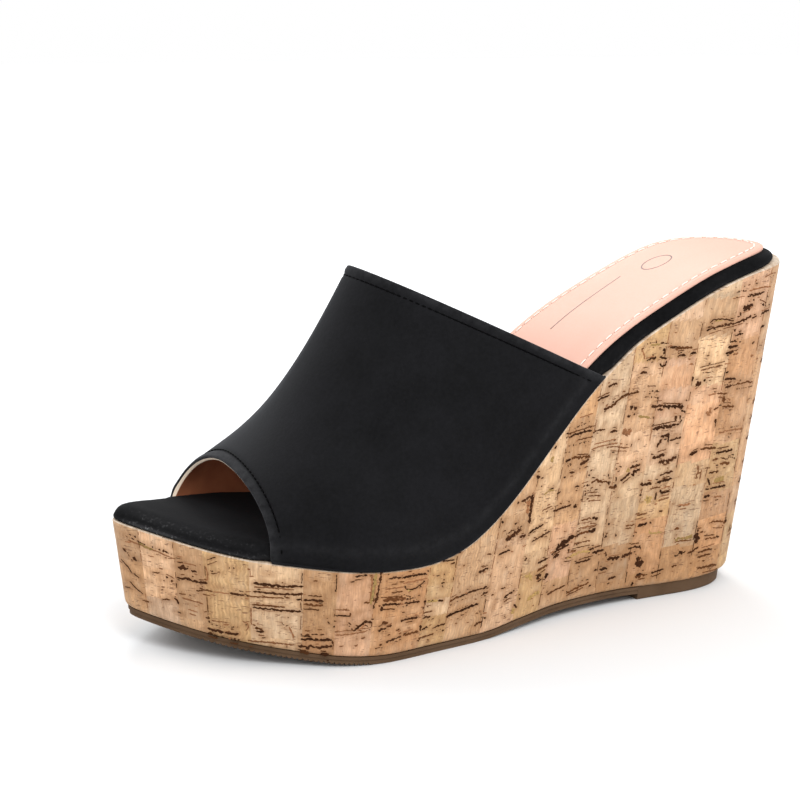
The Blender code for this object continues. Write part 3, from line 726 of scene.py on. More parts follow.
# Bark marks seen on the lateral side: look, thickness, then (station, height) points, all in mm
LATERAL_MARKS = [
    # toe
    ("bead", 1.0, (220.2, 35.2), (218.8, 34.6), (217.2, 34.0), (216.0, 33.2),
     (214.5, 33.0), (212.5, 32.4), (210.6, 32.0), (209.6, 31.6)),
    ("olive", 1.0, (217.6, 33.6), (216.2, 32.8), (214.4, 32.2)),
    ("bead", 0.8, (219.5, 35.8), (218.4, 35.6), (217.8, 35.0)),
    ("ink", 2.1, (219.4, 28.6), (218.6, 27.8)),
    ("bead", 0.7, (221.2, 31.0), (220.2, 29.2), (219.6, 27.4)),
    ("ink", 0.5, (221.8, 27.0), (220.6, 25.0), (220.0, 23.4)),
    ("ink", 0.6, (219.6, 23.6), (218.6, 22.4)),
    ("ink", 0.5, (220.8, 20.6), (219.6, 18.9), (218.2, 17.6)),
    ("ink", 1.7, (209.2, 28.2), (206.9, 28.1)),
    ("ink", 1.5, (206.2, 27.7), (204.9, 27.2)),
    ("thin", 0.4, (209.4, 29.7), (207.0, 29.6), (204.9, 29.2)),
    ("ink", 1.0, (209.7, 24.8), (207.5, 24.7), (205.2, 24.3), (202.9, 24.2)),
    ("ink", 1.1, (203.6, 24.6), (202.6, 24.2)),
    ("bead", 0.8, (212.4, 24.6), (211.2, 23.8), (210.2, 23.4)),
    ("rust", 0.5, (209.6, 19.9), (208.0, 19.8)),
    ("thin", 0.5, (209.0, 18.6), (206.6, 18.2), (204.0, 17.6)),
    ("ink", 0.8, (210.9, 18.2), (210.3, 17.4), (209.9, 16.4)),
    ("ink", 0.7, (210.4, 13.9), (209.6, 13.6)),
    ("thin", 0.4, (208.0, 15.3), (205.6, 14.8)),
    ("rust", 0.6, (204.6, 22.3), (203.0, 22.0), (201.5, 21.8)),
    ("thin", 0.4, (201.4, 21.8), (197.5, 21.7)),
    ("ink", 0.7, (197.3, 21.9), (195.4, 21.6), (193.6, 21.5)),
    ("ink", 0.9, (193.6, 21.9), (192.4, 21.1)),
    ("ink", 0.5, (202.2, 31.4), (201.2, 32.0), (200.2, 32.4)),
    ("thin", 0.5, (202.8, 29.6), (202.4, 27.4), (202.6, 25.2)),
    ("bead", 0.6, (202.3, 28.6), (201.4, 28.0), (200.8, 28.2)),
    ("bead", 0.8, (203.2, 15.2), (203.0, 13.6), (202.8, 12.0)),
    ("bead", 0.8, (202.9, 11.9), (201.0, 11.4), (199.0, 11.3), (197.0, 11.4), (195.4, 11.6)),
    ("ink", 1.0, (203.4, 10.3), (201.4, 10.0), (199.4, 9.6)),
    ("ink", 0.9, (199.2, 9.5), (197.4, 9.4), (195.5, 9.4)),
    ("bead", 0.8, (203.6, 8.8), (202.2, 8.6), (201.0, 8.2)),
    ("bead", 0.9, (198.2, 7.9), (196.8, 7.8), (195.4, 7.6)),
    ("thin", 0.5, (194.4, 13.6), (193.2, 13.0), (192.8, 11.8), (193.6, 10.8)),
    ("rust", 0.9, (191.2, 11.6), (190.2, 11.7), (189.0, 10.9)),
    ("ink", 0.6, (190.9, 10.8), (189.8, 10.4), (188.7, 10.7)),
    ("ink", 0.9, (191.3, 25.3), (189.6, 25.2), (187.0, 24.9), (184.0, 24.7), (181.0, 24.7), (178.4, 24.8)),
    ("ink", 1.1, (188.8, 25.5), (188.0, 25.0)),
    ("ink", 0.8, (191.4, 22.8), (189.0, 22.7), (186.0, 22.4), (183.0, 22.2), (180.0, 22.4), (178.5, 22.5)),
    ("rust", 0.5, (189.2, 21.6), (188.3, 21.5)),
    ("ink", 0.8, (191.6, 17.9), (189.0, 17.7), (185.0, 17.4), (181.0, 17.2), (178.9, 17.2)),
    ("thin", 0.6, (193.2, 7.6), (189.0, 7.6), (185.0, 7.3), (180.6, 7.0)),
    ("bead", 0.6, (184.0, 13.6), (183.0, 12.6), (182.2, 12.8)),
    ("thin", 0.6, (182.0, 12.4), (181.2, 10.6), (180.8, 9.0)),
    # ball
    ("ink", 0.9, (178.3, 20.7), (175.6, 20.5), (173.1, 20.5)),
    ("rust", 0.9, (178.3, 19.4), (175.6, 19.2), (173.2, 19.2)),
    ("ink", 0.7, (178.9, 9.8), (177.4, 9.7), (176.0, 9.7)),
    ("ink", 1.0, (178.9, 8.9), (175.5, 8.8), (172.5, 8.7), (170.4, 8.9)),
    ("ink", 1.0, (179.6, 6.8), (176.0, 6.6), (172.5, 6.6), (170.2, 6.9)),
    ("ink", 0.8, (170.3, 8.7), (170.1, 7.6)),
    ("rust", 0.9, (179.0, 4.8), (176.5, 4.5)),
    ("ink", 0.9, (173.4, 4.5), (171.0, 4.4)),
    ("ink", 0.8, (170.1, 24.0), (169.9, 23.4)),
    ("ink", 0.8, (170.0, 14.7), (169.8, 14.3)),
    ("ink", 0.9, (170.0, 13.1), (169.8, 12.7)),
    ("bead", 0.6, (171.8, 14.4), (171.0, 13.6)),
    ("ink", 0.6, (169.8, 16.3), (167.6, 16.1), (165.7, 15.9)),
    ("rust", 0.7, (165.7, 16.9), (165.6, 15.8)),
    ("ink", 0.6, (165.0, 27.8), (163.4, 27.9), (162.6, 27.8)),
    ("ink", 0.9, (162.6, 28.0), (161.6, 27.9)),
    ("thin", 0.5, (161.0, 28.2), (160.2, 27.2), (160.6, 26.4)),
    ("ink", 0.9, (157.5, 28.8), (157.6, 26.0), (157.8, 23.0), (158.2, 20.2), (158.9, 18.3)),
    ("ink", 1.3, (158.9, 18.6), (158.9, 17.8)),
    ("olive", 1.2, (159.1, 28.4), (159.2, 25.0), (159.6, 21.6), (159.8, 19.0)),
    ("thin", 0.6, (160.1, 28.0), (160.0, 24.0), (160.2, 20.0)),
    ("bead", 0.6, (160.0, 27.4), (159.4, 26.0), (159.9, 25.0)),
    ("ink", 0.8, (155.0, 26.2), (152.6, 26.4), (150.8, 25.9)),
    ("ink", 0.9, (150.6, 25.8), (147.6, 26.0), (144.6, 25.9), (142.2, 25.7)),
    ("ink", 0.6, (142.0, 26.6), (141.4, 26.2)),
    ("thin", 0.5, (155.6, 23.2), (152.4, 23.1), (149.6, 23.1)),
    ("ink", 0.6, (149.4, 23.3), (148.6, 22.2), (147.2, 21.7), (145.4, 21.9), (143.6, 22.7), (142.6, 23.4)),
    ("ink", 0.8, (142.9, 23.7), (142.2, 23.3)),
    ("olive", 0.8, (148.2, 21.8), (146.4, 21.5)),
    ("rust", 1.3, (156.1, 19.9), (153.4, 19.9), (150.6, 19.7), (148.4, 19.4)),
    ("bead", 0.8, (150.8, 20.6), (148.6, 20.4), (146.6, 19.6)),
    ("ink", 0.8, (156.2, 18.6), (153.0, 18.3), (150.0, 18.0)),
    ("ink", 0.8, (148.6, 17.9), (146.0, 17.7), (143.0, 17.5)),
    ("bead", 0.8, (151.0, 17.2), (148.6, 16.9), (146.8, 17.2)),
    ("ink", 1.0, (156.2, 17.9), (156.3, 16.8)),
    ("ink", 0.8, (149.2, 12.9), (147.0, 12.7), (145.0, 12.8), (143.0, 12.8)),
    ("rust", 1.2, (155.6, 12.9), (153.6, 13.0)),
    ("rust", 1.9, (153.8, 11.4), (152.2, 11.8)),
    ("ink", 0.9, (156.7, 10.9), (155.2, 11.1), (154.0, 11.2)),
    ("ink", 0.8, (164.4, 11.4), (163.0, 12.4), (162.0, 13.2), (161.0, 14.2)),
    ("ink", 1.0, (161.2, 14.4), (160.4, 13.9), (158.8, 13.4)),
    ("bead", 0.6, (166.4, 13.4), (165.2, 12.6), (164.6, 11.6)),
    ("thin", 0.6, (169.6, 10.4), (166.0, 10.4), (162.4, 10.8), (160.0, 11.2)),
    ("rust", 1.0, (155.8, 6.3), (154.8, 6.5)),
    ("ink", 0.8, (153.6, 6.9), (150.8, 7.5), (148.2, 7.8)),
    ("rust", 0.9, (147.6, 8.0), (144.6, 8.2), (141.8, 8.2)),
    # waist
    ("ink", 2.1, (141.1, 17.4), (140.8, 16.2)),
    ("ink", 1.0, (141.2, 15.6), (141.4, 14.8)),
    ("olive", 1.0, (140.4, 16.9), (138.0, 16.6), (136.2, 16.5)),
    ("ink", 0.6, (140.0, 17.0), (137.6, 16.8)),
    ("ink", 0.7, (136.0, 16.6), (134.0, 16.2)),
    ("ink", 0.8, (135.6, 24.6), (135.2, 24.3)),
    ("ink", 0.8, (135.4, 22.8), (135.0, 22.6)),
    ("ink", 1.2, (135.4, 21.1), (135.1, 20.4)),
    ("ink", 0.6, (136.9, 28.6), (134.6, 28.4), (132.6, 28.4)),
    ("ink", 0.7, (131.8, 30.2), (130.6, 30.3)),
    ("ink", 1.2, (141.2, 10.4), (141.1, 8.2)),
    ("ink", 0.8, (141.0, 12.0), (139.6, 12.2), (138.0, 12.0)),
    ("ink", 0.7, (140.6, 8.4), (139.0, 9.0), (138.4, 8.8)),
    ("ink", 0.8, (136.4, 8.1), (134.0, 8.5), (131.6, 8.8)),
    ("rust", 0.7, (141.4, 6.0), (138.2, 6.2), (135.6, 6.4)),
    ("bead", 0.6, (133.4, 6.6), (131.6, 6.7)),
    ("bead", 0.7, (138.8, 10.9), (136.6, 11.2)),
    ("rust", 1.0, (131.4, 15.4), (129.6, 15.9), (128.0, 16.2)),
    ("ink", 0.8, (128.4, 16.2), (125.4, 16.9), (122.2, 17.3), (119.0, 17.4), (117.0, 17.6)),
    ("ink", 0.9, (131.8, 10.8), (129.6, 11.3), (127.0, 11.7), (124.4, 12.2), (121.6, 12.6), (119.4, 12.8)),
    ("rust", 0.7, (119.0, 15.2), (117.4, 15.8)),
    ("ink", 0.8, (118.4, 15.6), (116.2, 16.0)),
    ("ink", 0.9, (121.7, 22.8), (120.2, 23.3), (118.0, 23.6)),
    ("rust", 0.9, (119.6, 6.0), (117.8, 6.6), (116.2, 6.8)),
    ("ink", 0.7, (116.0, 7.9), (115.0, 7.6)),
    ("bead", 0.6, (118.6, 10.6), (117.4, 9.0), (117.6, 7.6)),
    ("ink", 0.8, (114.5, 27.0), (112.4, 27.5), (109.6, 27.8)),
    ("ink", 1.6, (112.6, 31.4), (110.6, 31.9), (108.6, 32.8), (106.4, 33.8)),
    ("bead", 0.9, (113.2, 33.0), (110.8, 33.9), (108.0, 34.2), (106.0, 34.6)),
    ("ink", 1.0, (106.4, 31.0), (104.6, 31.6), (103.4, 31.2)),
    ("ink", 0.9, (103.2, 32.0), (101.0, 32.9), (98.6, 33.3), (96.6, 33.9)),
    ("ink", 0.8, (101.6, 29.4), (98.6, 30.2), (95.6, 30.9), (93.4, 31.4)),
    ("ink", 1.3, (103.4, 44.2), (103.3, 41.4), (103.0, 38.0), (102.8, 34.8)),
    ("thin", 1.6, (104.6, 42.8), (104.6, 40.0), (104.4, 38.2)),
    ("ink", 1.0, (108.4, 42.5), (106.4, 43.0), (104.4, 43.6)),
    ("ink", 2.0, (110.3, 42.4), (109.4, 42.3)),
    ("ink", 1.4, (115.8, 37.0), (115.0, 37.2)),
    ("ink", 1.8, (103.1, 49.1), (101.4, 49.4)),
    ("ink", 0.7, (101.4, 48.8), (100.2, 48.9)),
    ("ink", 1.2, (98.4, 58.2), (97.4, 58.6)),
    ("olive", 2.2, (98.6, 55.6), (98.2, 54.0)),
    ("olive", 0.8, (99.8, 44.0), (97.4, 44.8), (95.0, 44.6)),
    ("ink", 0.6, (97.4, 45.3), (95.4, 45.2)),
    ("thin", 0.6, (99.2, 38.7), (96.8, 39.2), (94.5, 39.4)),
    ("ink", 0.9, (94.5, 38.0), (91.6, 38.3), (88.6, 38.5), (86.0, 38.7)),
    ("ink", 2.0, (85.6, 38.4), (84.0, 38.6)),
    ("ink", 0.8, (93.2, 43.0), (91.6, 43.5)),
    ("ink", 1.1, (102.2, 23.4), (100.8, 23.8)),
    ("ink", 1.0, (102.7, 20.1), (102.0, 19.9)),
    ("olive", 2.0, (101.4, 18.2), (99.2, 18.0), (97.6, 16.4)),
    ("ink", 0.9, (96.8, 21.8), (94.4, 22.2), (92.2, 22.4)),
    ("rust", 1.0, (96.4, 19.2), (93.8, 19.8), (91.6, 20.2)),
    ("ink", 1.9, (96.4, 16.8), (95.0, 17.6), (94.2, 18.0)),
    ("ink", 0.9, (95.2, 15.6), (93.4, 16.0)),
    ("ink", 1.7, (91.6, 17.4), (91.0, 16.2), (90.6, 16.4)),
    ("ink", 1.1, (108.4, 12.8), (106.6, 13.4), (104.8, 14.0)),
    ("ink", 1.6, (104.8, 14.0), (104.2, 14.2)),
    ("ink", 1.2, (101.4, 11.0), (100.8, 11.2)),
    ("olive", 1.4, (98.8, 10.4), (96.4, 11.4), (93.4, 11.9)),
    ("ink", 0.8, (96.4, 11.8), (94.8, 12.0)),
    ("olive", 2.4, (103.8, 7.0), (102.4, 8.0)),
    ("ink", 1.0, (103.2, 9.6), (102.0, 8.6), (101.4, 8.4)),
    # heel front
    ("ink", 0.9, (90.2, 59.6), (88.0, 60.2), (85.0, 60.4), (82.0, 60.6), (79.6, 60.4)),
    ("rust", 0.7, (79.0, 59.8), (76.4, 60.2), (73.4, 60.1)),
    ("bead", 0.9, (88.8, 62.2), (86.0, 62.8), (83.6, 63.1), (81.0, 63.7)),
    ("ink", 0.8, (92.2, 61.2), (91.0, 61.3)),
    ("thin", 0.5, (86.6, 65.4), (84.0, 65.6), (80.4, 66.0)),
    ("bead", 0.8, (90.0, 57.0), (86.8, 56.8), (83.2, 57.2), (80.0, 57.2)),
    ("ink", 0.9, (91.2, 52.9), (88.6, 53.2)),
    ("rust", 1.0, (88.0, 53.4), (84.6, 53.0), (81.2, 52.8), (79.0, 52.4)),
    ("ink", 1.1, (84.6, 51.2), (82.6, 51.6), (80.6, 52.2)),
    ("bead", 0.8, (90.4, 51.2), (88.0, 52.0)),
    ("ink", 0.8, (90.2, 49.8), (87.6, 49.6)),
    ("ink", 0.9, (91.6, 48.0), (90.6, 48.1)),
    ("ink", 1.1, (81.0, 47.8), (80.2, 47.7)),
    ("ink", 0.8, (86.6, 44.9), (84.4, 44.8)),
    ("bead", 1.0, (83.4, 44.2), (81.6, 44.4), (79.4, 44.3)),
    ("rust", 1.0, (79.0, 45.0), (77.0, 45.4), (74.0, 44.6), (71.4, 44.3)),
    ("ink", 2.2, (71.2, 44.4), (70.4, 43.4)),
    ("ink", 0.6, (71.6, 47.0), (71.4, 46.0)),
    ("bead", 0.9, (81.6, 42.8), (78.8, 42.6), (76.4, 42.4), (74.6, 42.4)),
    ("ink", 1.0, (81.2, 41.6), (80.6, 41.5)),
    ("thin", 0.6, (79.0, 39.2), (76.0, 39.0), (73.2, 38.6)),
    ("rust", 0.7, (80.6, 33.2), (77.8, 33.4), (75.6, 33.0)),
    ("ink", 1.0, (76.0, 33.4), (74.4, 33.1), (73.0, 32.7)),
    ("thin", 0.6, (81.4, 30.8), (77.4, 30.7), (73.4, 30.4)),
    ("rust", 1.0, (80.8, 28.9), (78.2, 29.0), (76.0, 28.8)),
    ("ink", 1.6, (76.4, 28.7), (74.2, 29.0), (73.2, 29.4)),
    ("ink", 1.9, (90.6, 25.9), (88.4, 26.8), (86.2, 27.3), (84.0, 28.0), (82.6, 28.6)),
    ("ink", 1.0, (82.4, 28.2), (80.0, 28.6)),
    ("ink", 0.9, (92.2, 24.3), (89.6, 25.1), (87.0, 25.5), (84.4, 26.1)),
    ("ink", 1.3, (90.0, 22.3), (88.6, 22.8), (87.4, 23.0)),
    ("thin", 0.7, (81.8, 25.8), (78.4, 25.8), (74.6, 25.8)),
    ("ink", 0.8, (81.2, 25.6), (79.4, 25.9)),
    ("ink", 0.8, (84.2, 24.6), (83.8, 23.2)),
    ("rust", 0.8, (82.6, 23.4), (80.2, 23.4)),
    ("olive", 0.9, (81.6, 20.0), (79.0, 20.8), (76.4, 21.2), (73.0, 21.0), (71.0, 20.7)),
    ("rust", 0.6, (82.0, 20.2), (79.2, 19.9)),
    ("ink", 0.9, (76.4, 17.4), (74.0, 17.6), (71.6, 17.6), (69.6, 17.8)),
    ("ink", 0.7, (74.8, 16.4), (74.2, 16.0)),
    ("rust", 0.7, (87.6, 9.4), (84.6, 10.1), (82.0, 10.5), (79.6, 11.0)),
    ("rust", 0.8, (78.4, 8.0), (75.6, 8.7), (72.8, 9.2), (70.2, 9.6), (68.6, 9.9)),
    ("ink", 0.8, (68.4, 8.4), (67.4, 8.8)),
    ("ink", 0.9, (79.4, 69.8), (77.6, 70.4), (75.6, 70.6), (74.2, 71.0)),
    ("thin", 0.5, (78.2, 54.3), (74.6, 54.8), (70.4, 54.9), (66.4, 54.9)),
    ("ink", 0.9, (72.6, 21.8), (70.4, 21.6)),
    ("ink", 1.2, (69.6, 19.6), (67.0, 19.9), (64.4, 20.0)),
    ("bead", 0.8, (72.0, 20.4), (70.6, 20.0)),
    ("ink", 1.0, (67.2, 13.6), (66.0, 13.8)),
    ("ink", 1.3, (65.0, 28.4), (64.0, 28.6)),
    ("ink", 1.6, (65.2, 25.6), (64.6, 24.2)),
    # heel, upper part
    ("rust", 0.9, (76.4, 66.3), (73.4, 67.1), (71.4, 68.4), (69.4, 69.5), (66.4, 69.9), (62.6, 70.0)),
    ("ink", 0.8, (75.8, 66.6), (73.0, 67.3)),
    ("bead", 0.9, (62.4, 70.0), (59.6, 69.8), (56.2, 69.4)),
    ("ink", 1.0, (75.6, 73.6), (73.4, 74.1), (71.6, 74.1)),
    ("bead", 0.8, (62.2, 68.2), (60.0, 68.0), (57.8, 67.7), (56.2, 67.4)),
    ("ink", 1.5, (64.9, 64.6), (64.3, 65.8)),
    ("ink", 2.3, (63.2, 64.4), (62.8, 65.6)),
    ("ink", 1.4, (66.0, 62.6), (64.6, 62.8)),
    ("ink", 1.3, (63.4, 63.0), (62.8, 63.2)),
    ("olive", 0.9, (62.6, 62.2), (60.0, 61.8), (57.6, 61.2)),
    ("ink", 0.7, (57.9, 61.6), (57.4, 60.8)),
    ("ink", 1.0, (59.4, 65.0), (57.0, 64.7), (54.6, 64.6)),
    ("ink", 1.5, (54.6, 64.5), (51.6, 64.0), (48.6, 63.8), (45.8, 63.4)),
    ("ink", 0.9, (56.6, 63.6), (54.2, 63.3)),
    ("ink", 0.9, (45.4, 65.6), (44.8, 65.4)),
    ("ink", 0.8, (46.6, 62.2), (45.2, 62.0), (44.8, 61.2)),
    ("ink", 1.7, (48.4, 60.8), (48.2, 59.2)),
    ("ink", 0.9, (46.8, 60.8), (46.2, 59.4)),
    ("ink", 1.4, (57.2, 57.1), (54.4, 57.7), (51.6, 57.6), (48.6, 57.6), (46.4, 57.8)),
    ("ink", 0.9, (46.2, 58.0), (45.6, 59.2)),
    ("bead", 0.8, (63.8, 85.0), (61.8, 85.9), (59.2, 86.0), (56.8, 85.6), (54.4, 85.2), (52.4, 85.0)),
    ("olive", 0.8, (61.0, 85.2), (57.0, 85.0)),
    ("ink", 1.2, (55.4, 83.6), (54.6, 82.6), (55.0, 81.9)),
    ("ink", 0.9, (56.4, 81.0), (54.6, 80.6), (53.2, 80.4)),
    ("ink", 0.9, (56.0, 79.0), (54.8, 77.8), (53.6, 78.2), (53.4, 79.6)),
    ("ink", 1.0, (61.6, 80.2), (59.6, 80.5), (57.8, 80.6)),
    ("bead", 0.9, (58.6, 81.4), (57.6, 80.8)),
    ("ink", 1.0, (63.6, 75.9), (62.2, 76.3), (60.8, 76.0)),
    ("thin", 0.7, (64.6, 83.6), (63.4, 82.2), (62.6, 80.4)),
    ("ink", 1.2, (52.6, 83.6), (50.6, 83.8), (48.4, 83.5)),
    ("rust", 1.0, (50.4, 83.2), (47.0, 83.2), (43.4, 82.9)),
    ("ink", 0.9, (48.9, 80.6), (47.4, 81.0), (45.6, 80.7)),
    ("ink", 0.9, (43.9, 80.9), (42.6, 81.2), (41.2, 81.0)),
    ("thin", 0.8, (44.6, 77.4), (43.2, 77.4)),
    ("ink", 1.0, (44.4, 73.2), (44.2, 71.6)),
    ("ink", 2.6, (43.0, 69.6), (41.2, 70.9)),
    ("ink", 1.0, (40.8, 71.2), (40.0, 71.6)),
    ("thin", 0.6, (41.0, 74.8), (38.0, 75.2), (34.4, 75.6), (32.4, 75.8)),
    ("ink", 0.9, (34.4, 75.6), (33.0, 75.9)),
    ("thin", 0.5, (40.2, 72.0), (37.4, 72.2)),
    ("ink", 1.2, (32.4, 73.0), (31.2, 73.1)),
    ("ink", 1.0, (32.4, 70.7), (30.6, 70.9), (28.8, 70.6), (27.2, 70.4)),
    ("ink", 1.0, (31.4, 68.0), (28.4, 68.4)),
    ("rust", 0.8, (28.0, 68.4), (24.4, 68.6), (20.6, 68.6), (17.4, 68.0)),
    ("thin", 0.7, (37.8, 66.2), (34.8, 66.4)),
    ("rust", 0.8, (34.4, 66.5), (32.0, 66.2), (30.0, 66.0)),
    ("rust", 2.6, (31.4, 65.2), (30.8, 63.2)),
    ("ink", 1.3, (31.4, 64.6), (30.6, 63.4)),
    ("thin", 1.2, (29.4, 64.4), (28.0, 63.4)),
    ("rust", 0.9, (31.2, 61.8), (28.4, 61.6), (25.6, 61.2)),
    ("thin", 2.2, (37.6, 60.6), (35.4, 60.2)),
    ("rust", 1.0, (34.6, 61.2), (32.6, 61.6)),
    ("ink", 1.9, (33.2, 58.0), (32.8, 56.8)),
    ("bead", 0.9, (29.9, 99.4), (28.0, 99.8), (26.0, 99.7), (24.2, 99.9)),
    ("ink", 1.0, (24.4, 97.8), (21.6, 97.8), (18.8, 97.9), (16.2, 98.4)),
    ("thin", 0.7, (24.0, 99.6), (19.6, 100.0), (15.6, 99.9), (12.6, 99.6)),
    ("ink", 2.0, (25.4, 93.9), (23.2, 94.3), (21.0, 94.6)),
    ("ink", 1.1, (26.4, 92.8), (25.6, 91.8)),
    ("ink", 1.3, (21.4, 96.6), (20.8, 96.2)),
    ("ink", 0.6, (38.0, 90.4), (36.6, 91.3), (34.0, 91.3), (31.4, 91.0), (28.4, 90.2)),
    ("olive", 0.5, (36.0, 90.8), (33.0, 90.8)),
    ("ink", 0.9, (38.8, 88.0), (36.4, 88.6), (34.2, 88.9), (32.2, 89.3)),
    ("ink", 1.0, (32.0, 89.4), (29.4, 89.4), (26.6, 89.6), (23.6, 90.3), (20.8, 90.9)),
    ("ink", 0.8, (20.4, 90.4), (18.0, 90.7)),
    ("ink", 1.0, (15.6, 91.2), (13.0, 91.6), (10.4, 91.6)),
    ("bead", 0.9, (17.4, 94.8), (15.2, 94.2), (13.0, 93.2)),
    ("bead", 0.8, (14.6, 97.0), (12.6, 96.2)),
    ("ink", 1.5, (27.6, 87.6), (27.0, 86.6)),
    ("ink", 1.0, (26.6, 85.2), (24.8, 85.6), (23.2, 85.6)),
    ("ink", 0.9, (28.2, 83.2), (26.8, 83.6), (25.4, 83.4)),
    ("bead", 0.8, (24.8, 83.2), (23.0, 83.0)),
    ("ink", 1.0, (28.8, 81.8), (26.8, 82.0), (24.6, 81.9)),
    ("ink", 1.0, (29.6, 79.8), (27.6, 80.1), (26.0, 80.2)),
    ("thin", 0.7, (26.0, 79.2), (23.8, 79.4)),
    ("ink", 1.1, (17.8, 82.0), (16.6, 82.2)),
    ("thin", 0.8, (17.2, 77.6), (15.6, 77.8)),
    ("thin", 0.6, (30.6, 76.2), (28.0, 76.0)),
    ("thin", 0.5, (17.4, 103.2), (13.4, 104.0), (10.6, 103.8)),
    # heel, lower part
    ("ink", 1.0, (72.0, 58.4), (70.2, 58.8), (68.6, 58.6)),
    ("thin", 2.0, (65.8, 58.6), (63.6, 58.0), (62.4, 57.0)),
    ("thin", 0.6, (71.4, 54.2), (67.6, 54.0), (64.0, 53.2), (61.2, 52.8)),
    ("rust", 0.7, (61.2, 52.8), (61.0, 53.8)),
    ("ink", 1.2, (54.0, 51.2), (53.2, 52.2), (52.5, 53.6)),
    ("ink", 1.2, (53.2, 54.7), (51.4, 54.6), (49.6, 54.7)),
    ("ink", 0.9, (50.0, 55.4), (49.8, 53.4), (49.6, 52.2)),
    ("ink", 0.8, (49.2, 52.8), (46.8, 53.2), (44.6, 53.4)),
    ("ink", 1.2, (53.6, 47.8), (51.0, 48.2), (48.6, 48.6)),
    ("ink", 1.5, (50.2, 46.0), (47.4, 46.3), (45.0, 46.6), (43.0, 47.0)),
    ("ink", 1.3, (41.2, 46.9), (39.6, 47.5), (38.2, 48.0)),
    ("rust", 0.8, (37.2, 48.5), (34.0, 48.6), (30.6, 48.2)),
    ("ink", 1.0, (30.2, 46.4), (27.2, 46.5), (24.4, 46.4), (22.2, 46.4)),
    ("bead", 0.8, (65.4, 46.2), (64.0, 47.0), (62.4, 46.6)),
    ("ink", 1.0, (62.4, 42.2), (60.4, 43.2), (58.6, 44.4)),
    ("ink", 2.5, (58.0, 43.9), (56.4, 44.4), (54.8, 45.2)),
    ("ink", 1.2, (59.4, 46.0), (57.4, 46.2), (55.2, 46.6)),
    ("olive", 1.8, (60.4, 45.0), (59.0, 45.2)),
    ("ink", 2.3, (66.8, 42.4), (66.4, 41.2)),
    ("rust", 0.9, (70.4, 42.6), (68.6, 42.2), (66.8, 42.0)),
    ("ink", 0.6, (67.6, 45.4), (67.2, 43.8)),
    ("ink", 1.1, (54.2, 39.8), (51.8, 39.7), (49.4, 39.6)),
    ("ink", 1.3, (49.0, 39.7), (46.2, 39.8), (43.2, 40.2)),
    ("ink", 0.9, (48.4, 41.7), (45.6, 42.1), (43.2, 42.6)),
    ("thin", 0.7, (46.8, 37.2), (44.8, 37.4), (43.2, 37.6)),
    ("ink", 0.9, (47.2, 37.0), (46.6, 35.8), (45.0, 35.8), (43.2, 36.0)),
    ("rust", 0.7, (51.4, 37.8), (48.8, 37.9), (47.2, 37.8)),
    ("olive", 4.4, (52.2, 34.6), (50.4, 34.8), (49.0, 34.9)),
    ("ink", 0.8, (53.2, 36.4), (52.2, 36.4)),
    ("ink", 0.9, (48.6, 36.2), (48.6, 33.6)),
    ("thin", 0.7, (47.2, 33.4), (44.8, 33.6), (43.0, 33.8)),
    ("rust", 1.0, (46.0, 29.8), (44.6, 29.8)),
    ("thin", 0.8, (42.0, 30.6), (39.0, 30.2), (37.0, 30.6)),
    ("rust", 0.7, (53.4, 29.4), (51.4, 29.7), (49.4, 29.8)),
    ("ink", 1.1, (52.9, 25.8), (50.6, 26.1), (49.0, 26.2)),
    ("ink", 1.5, (49.2, 26.3), (48.4, 26.2)),
    ("rust", 0.6, (56.6, 26.8), (54.2, 26.7), (52.8, 26.6)),
    ("olive", 0.8, (48.8, 24.0), (48.4, 22.6), (46.0, 22.4), (43.4, 22.4)),
    ("ink", 1.6, (52.9, 22.8), (52.4, 22.6)),
    ("rust", 1.0, (41.4, 22.4), (39.6, 22.4)),
    ("olive", 1.6, (40.8, 19.0), (38.0, 19.0), (35.4, 18.8), (33.6, 18.8)),
    ("rust", 0.6, (40.8, 18.0), (37.0, 18.0), (33.8, 17.8)),
    ("ink", 2.4, (32.2, 20.0), (31.6, 18.6), (31.6, 16.8)),
    ("ink", 0.9, (31.9, 21.8), (31.8, 20.2)),
    ("rust", 0.8, (30.8, 20.0), (29.2, 20.0)),
    ("ink", 0.8, (54.4, 18.8), (51.8, 19.0), (49.6, 18.7)),
    ("ink", 1.5, (50.8, 19.2), (50.2, 17.8)),
    ("ink", 1.3, (62.2, 16.4), (59.4, 16.5), (56.8, 16.4)),
    ("ink", 1.4, (56.0, 16.4), (53.6, 16.8), (51.8, 17.2)),
    ("bead", 1.2, (63.4, 19.2), (62.8, 17.8), (62.4, 16.8)),
    ("ink", 1.3, (64.8, 13.4), (63.0, 13.6), (61.4, 13.4)),
    ("ink", 2.8, (51.9, 13.4), (50.0, 13.2), (48.2, 12.8)),
    ("ink", 1.4, (51.4, 14.8), (49.4, 14.8)),
    ("rust", 1.0, (51.2, 8.4), (48.6, 8.8), (46.2, 8.6)),
    ("ink", 1.2, (50.6, 9.2), (48.6, 9.2)),
    ("ink", 0.8, (45.6, 8.8), (42.6, 9.2), (40.6, 9.6)),
    ("rust", 0.9, (40.2, 9.6), (38.2, 10.0)),
    ("ink", 1.1, (60.2, 9.6), (58.6, 9.9), (57.0, 9.9)),
    ("ink", 1.2, (50.9, 7.0), (50.8, 5.8)),
    ("ink", 1.4, (39.8, 13.2), (37.6, 13.8), (35.6, 14.2)),
    ("rust", 0.8, (34.6, 13.4), (32.4, 14.0), (30.2, 15.0)),
    ("bead", 0.9, (32.8, 15.6), (31.4, 15.8)),
    ("rust", 0.9, (29.8, 11.4), (26.6, 11.6), (23.6, 11.6)),
    ("rust", 0.8, (30.0, 13.0), (26.8, 13.4), (23.2, 13.4)),
    ("rust", 1.0, (28.8, 7.4), (25.4, 7.4), (22.0, 7.4), (19.0, 7.0)),
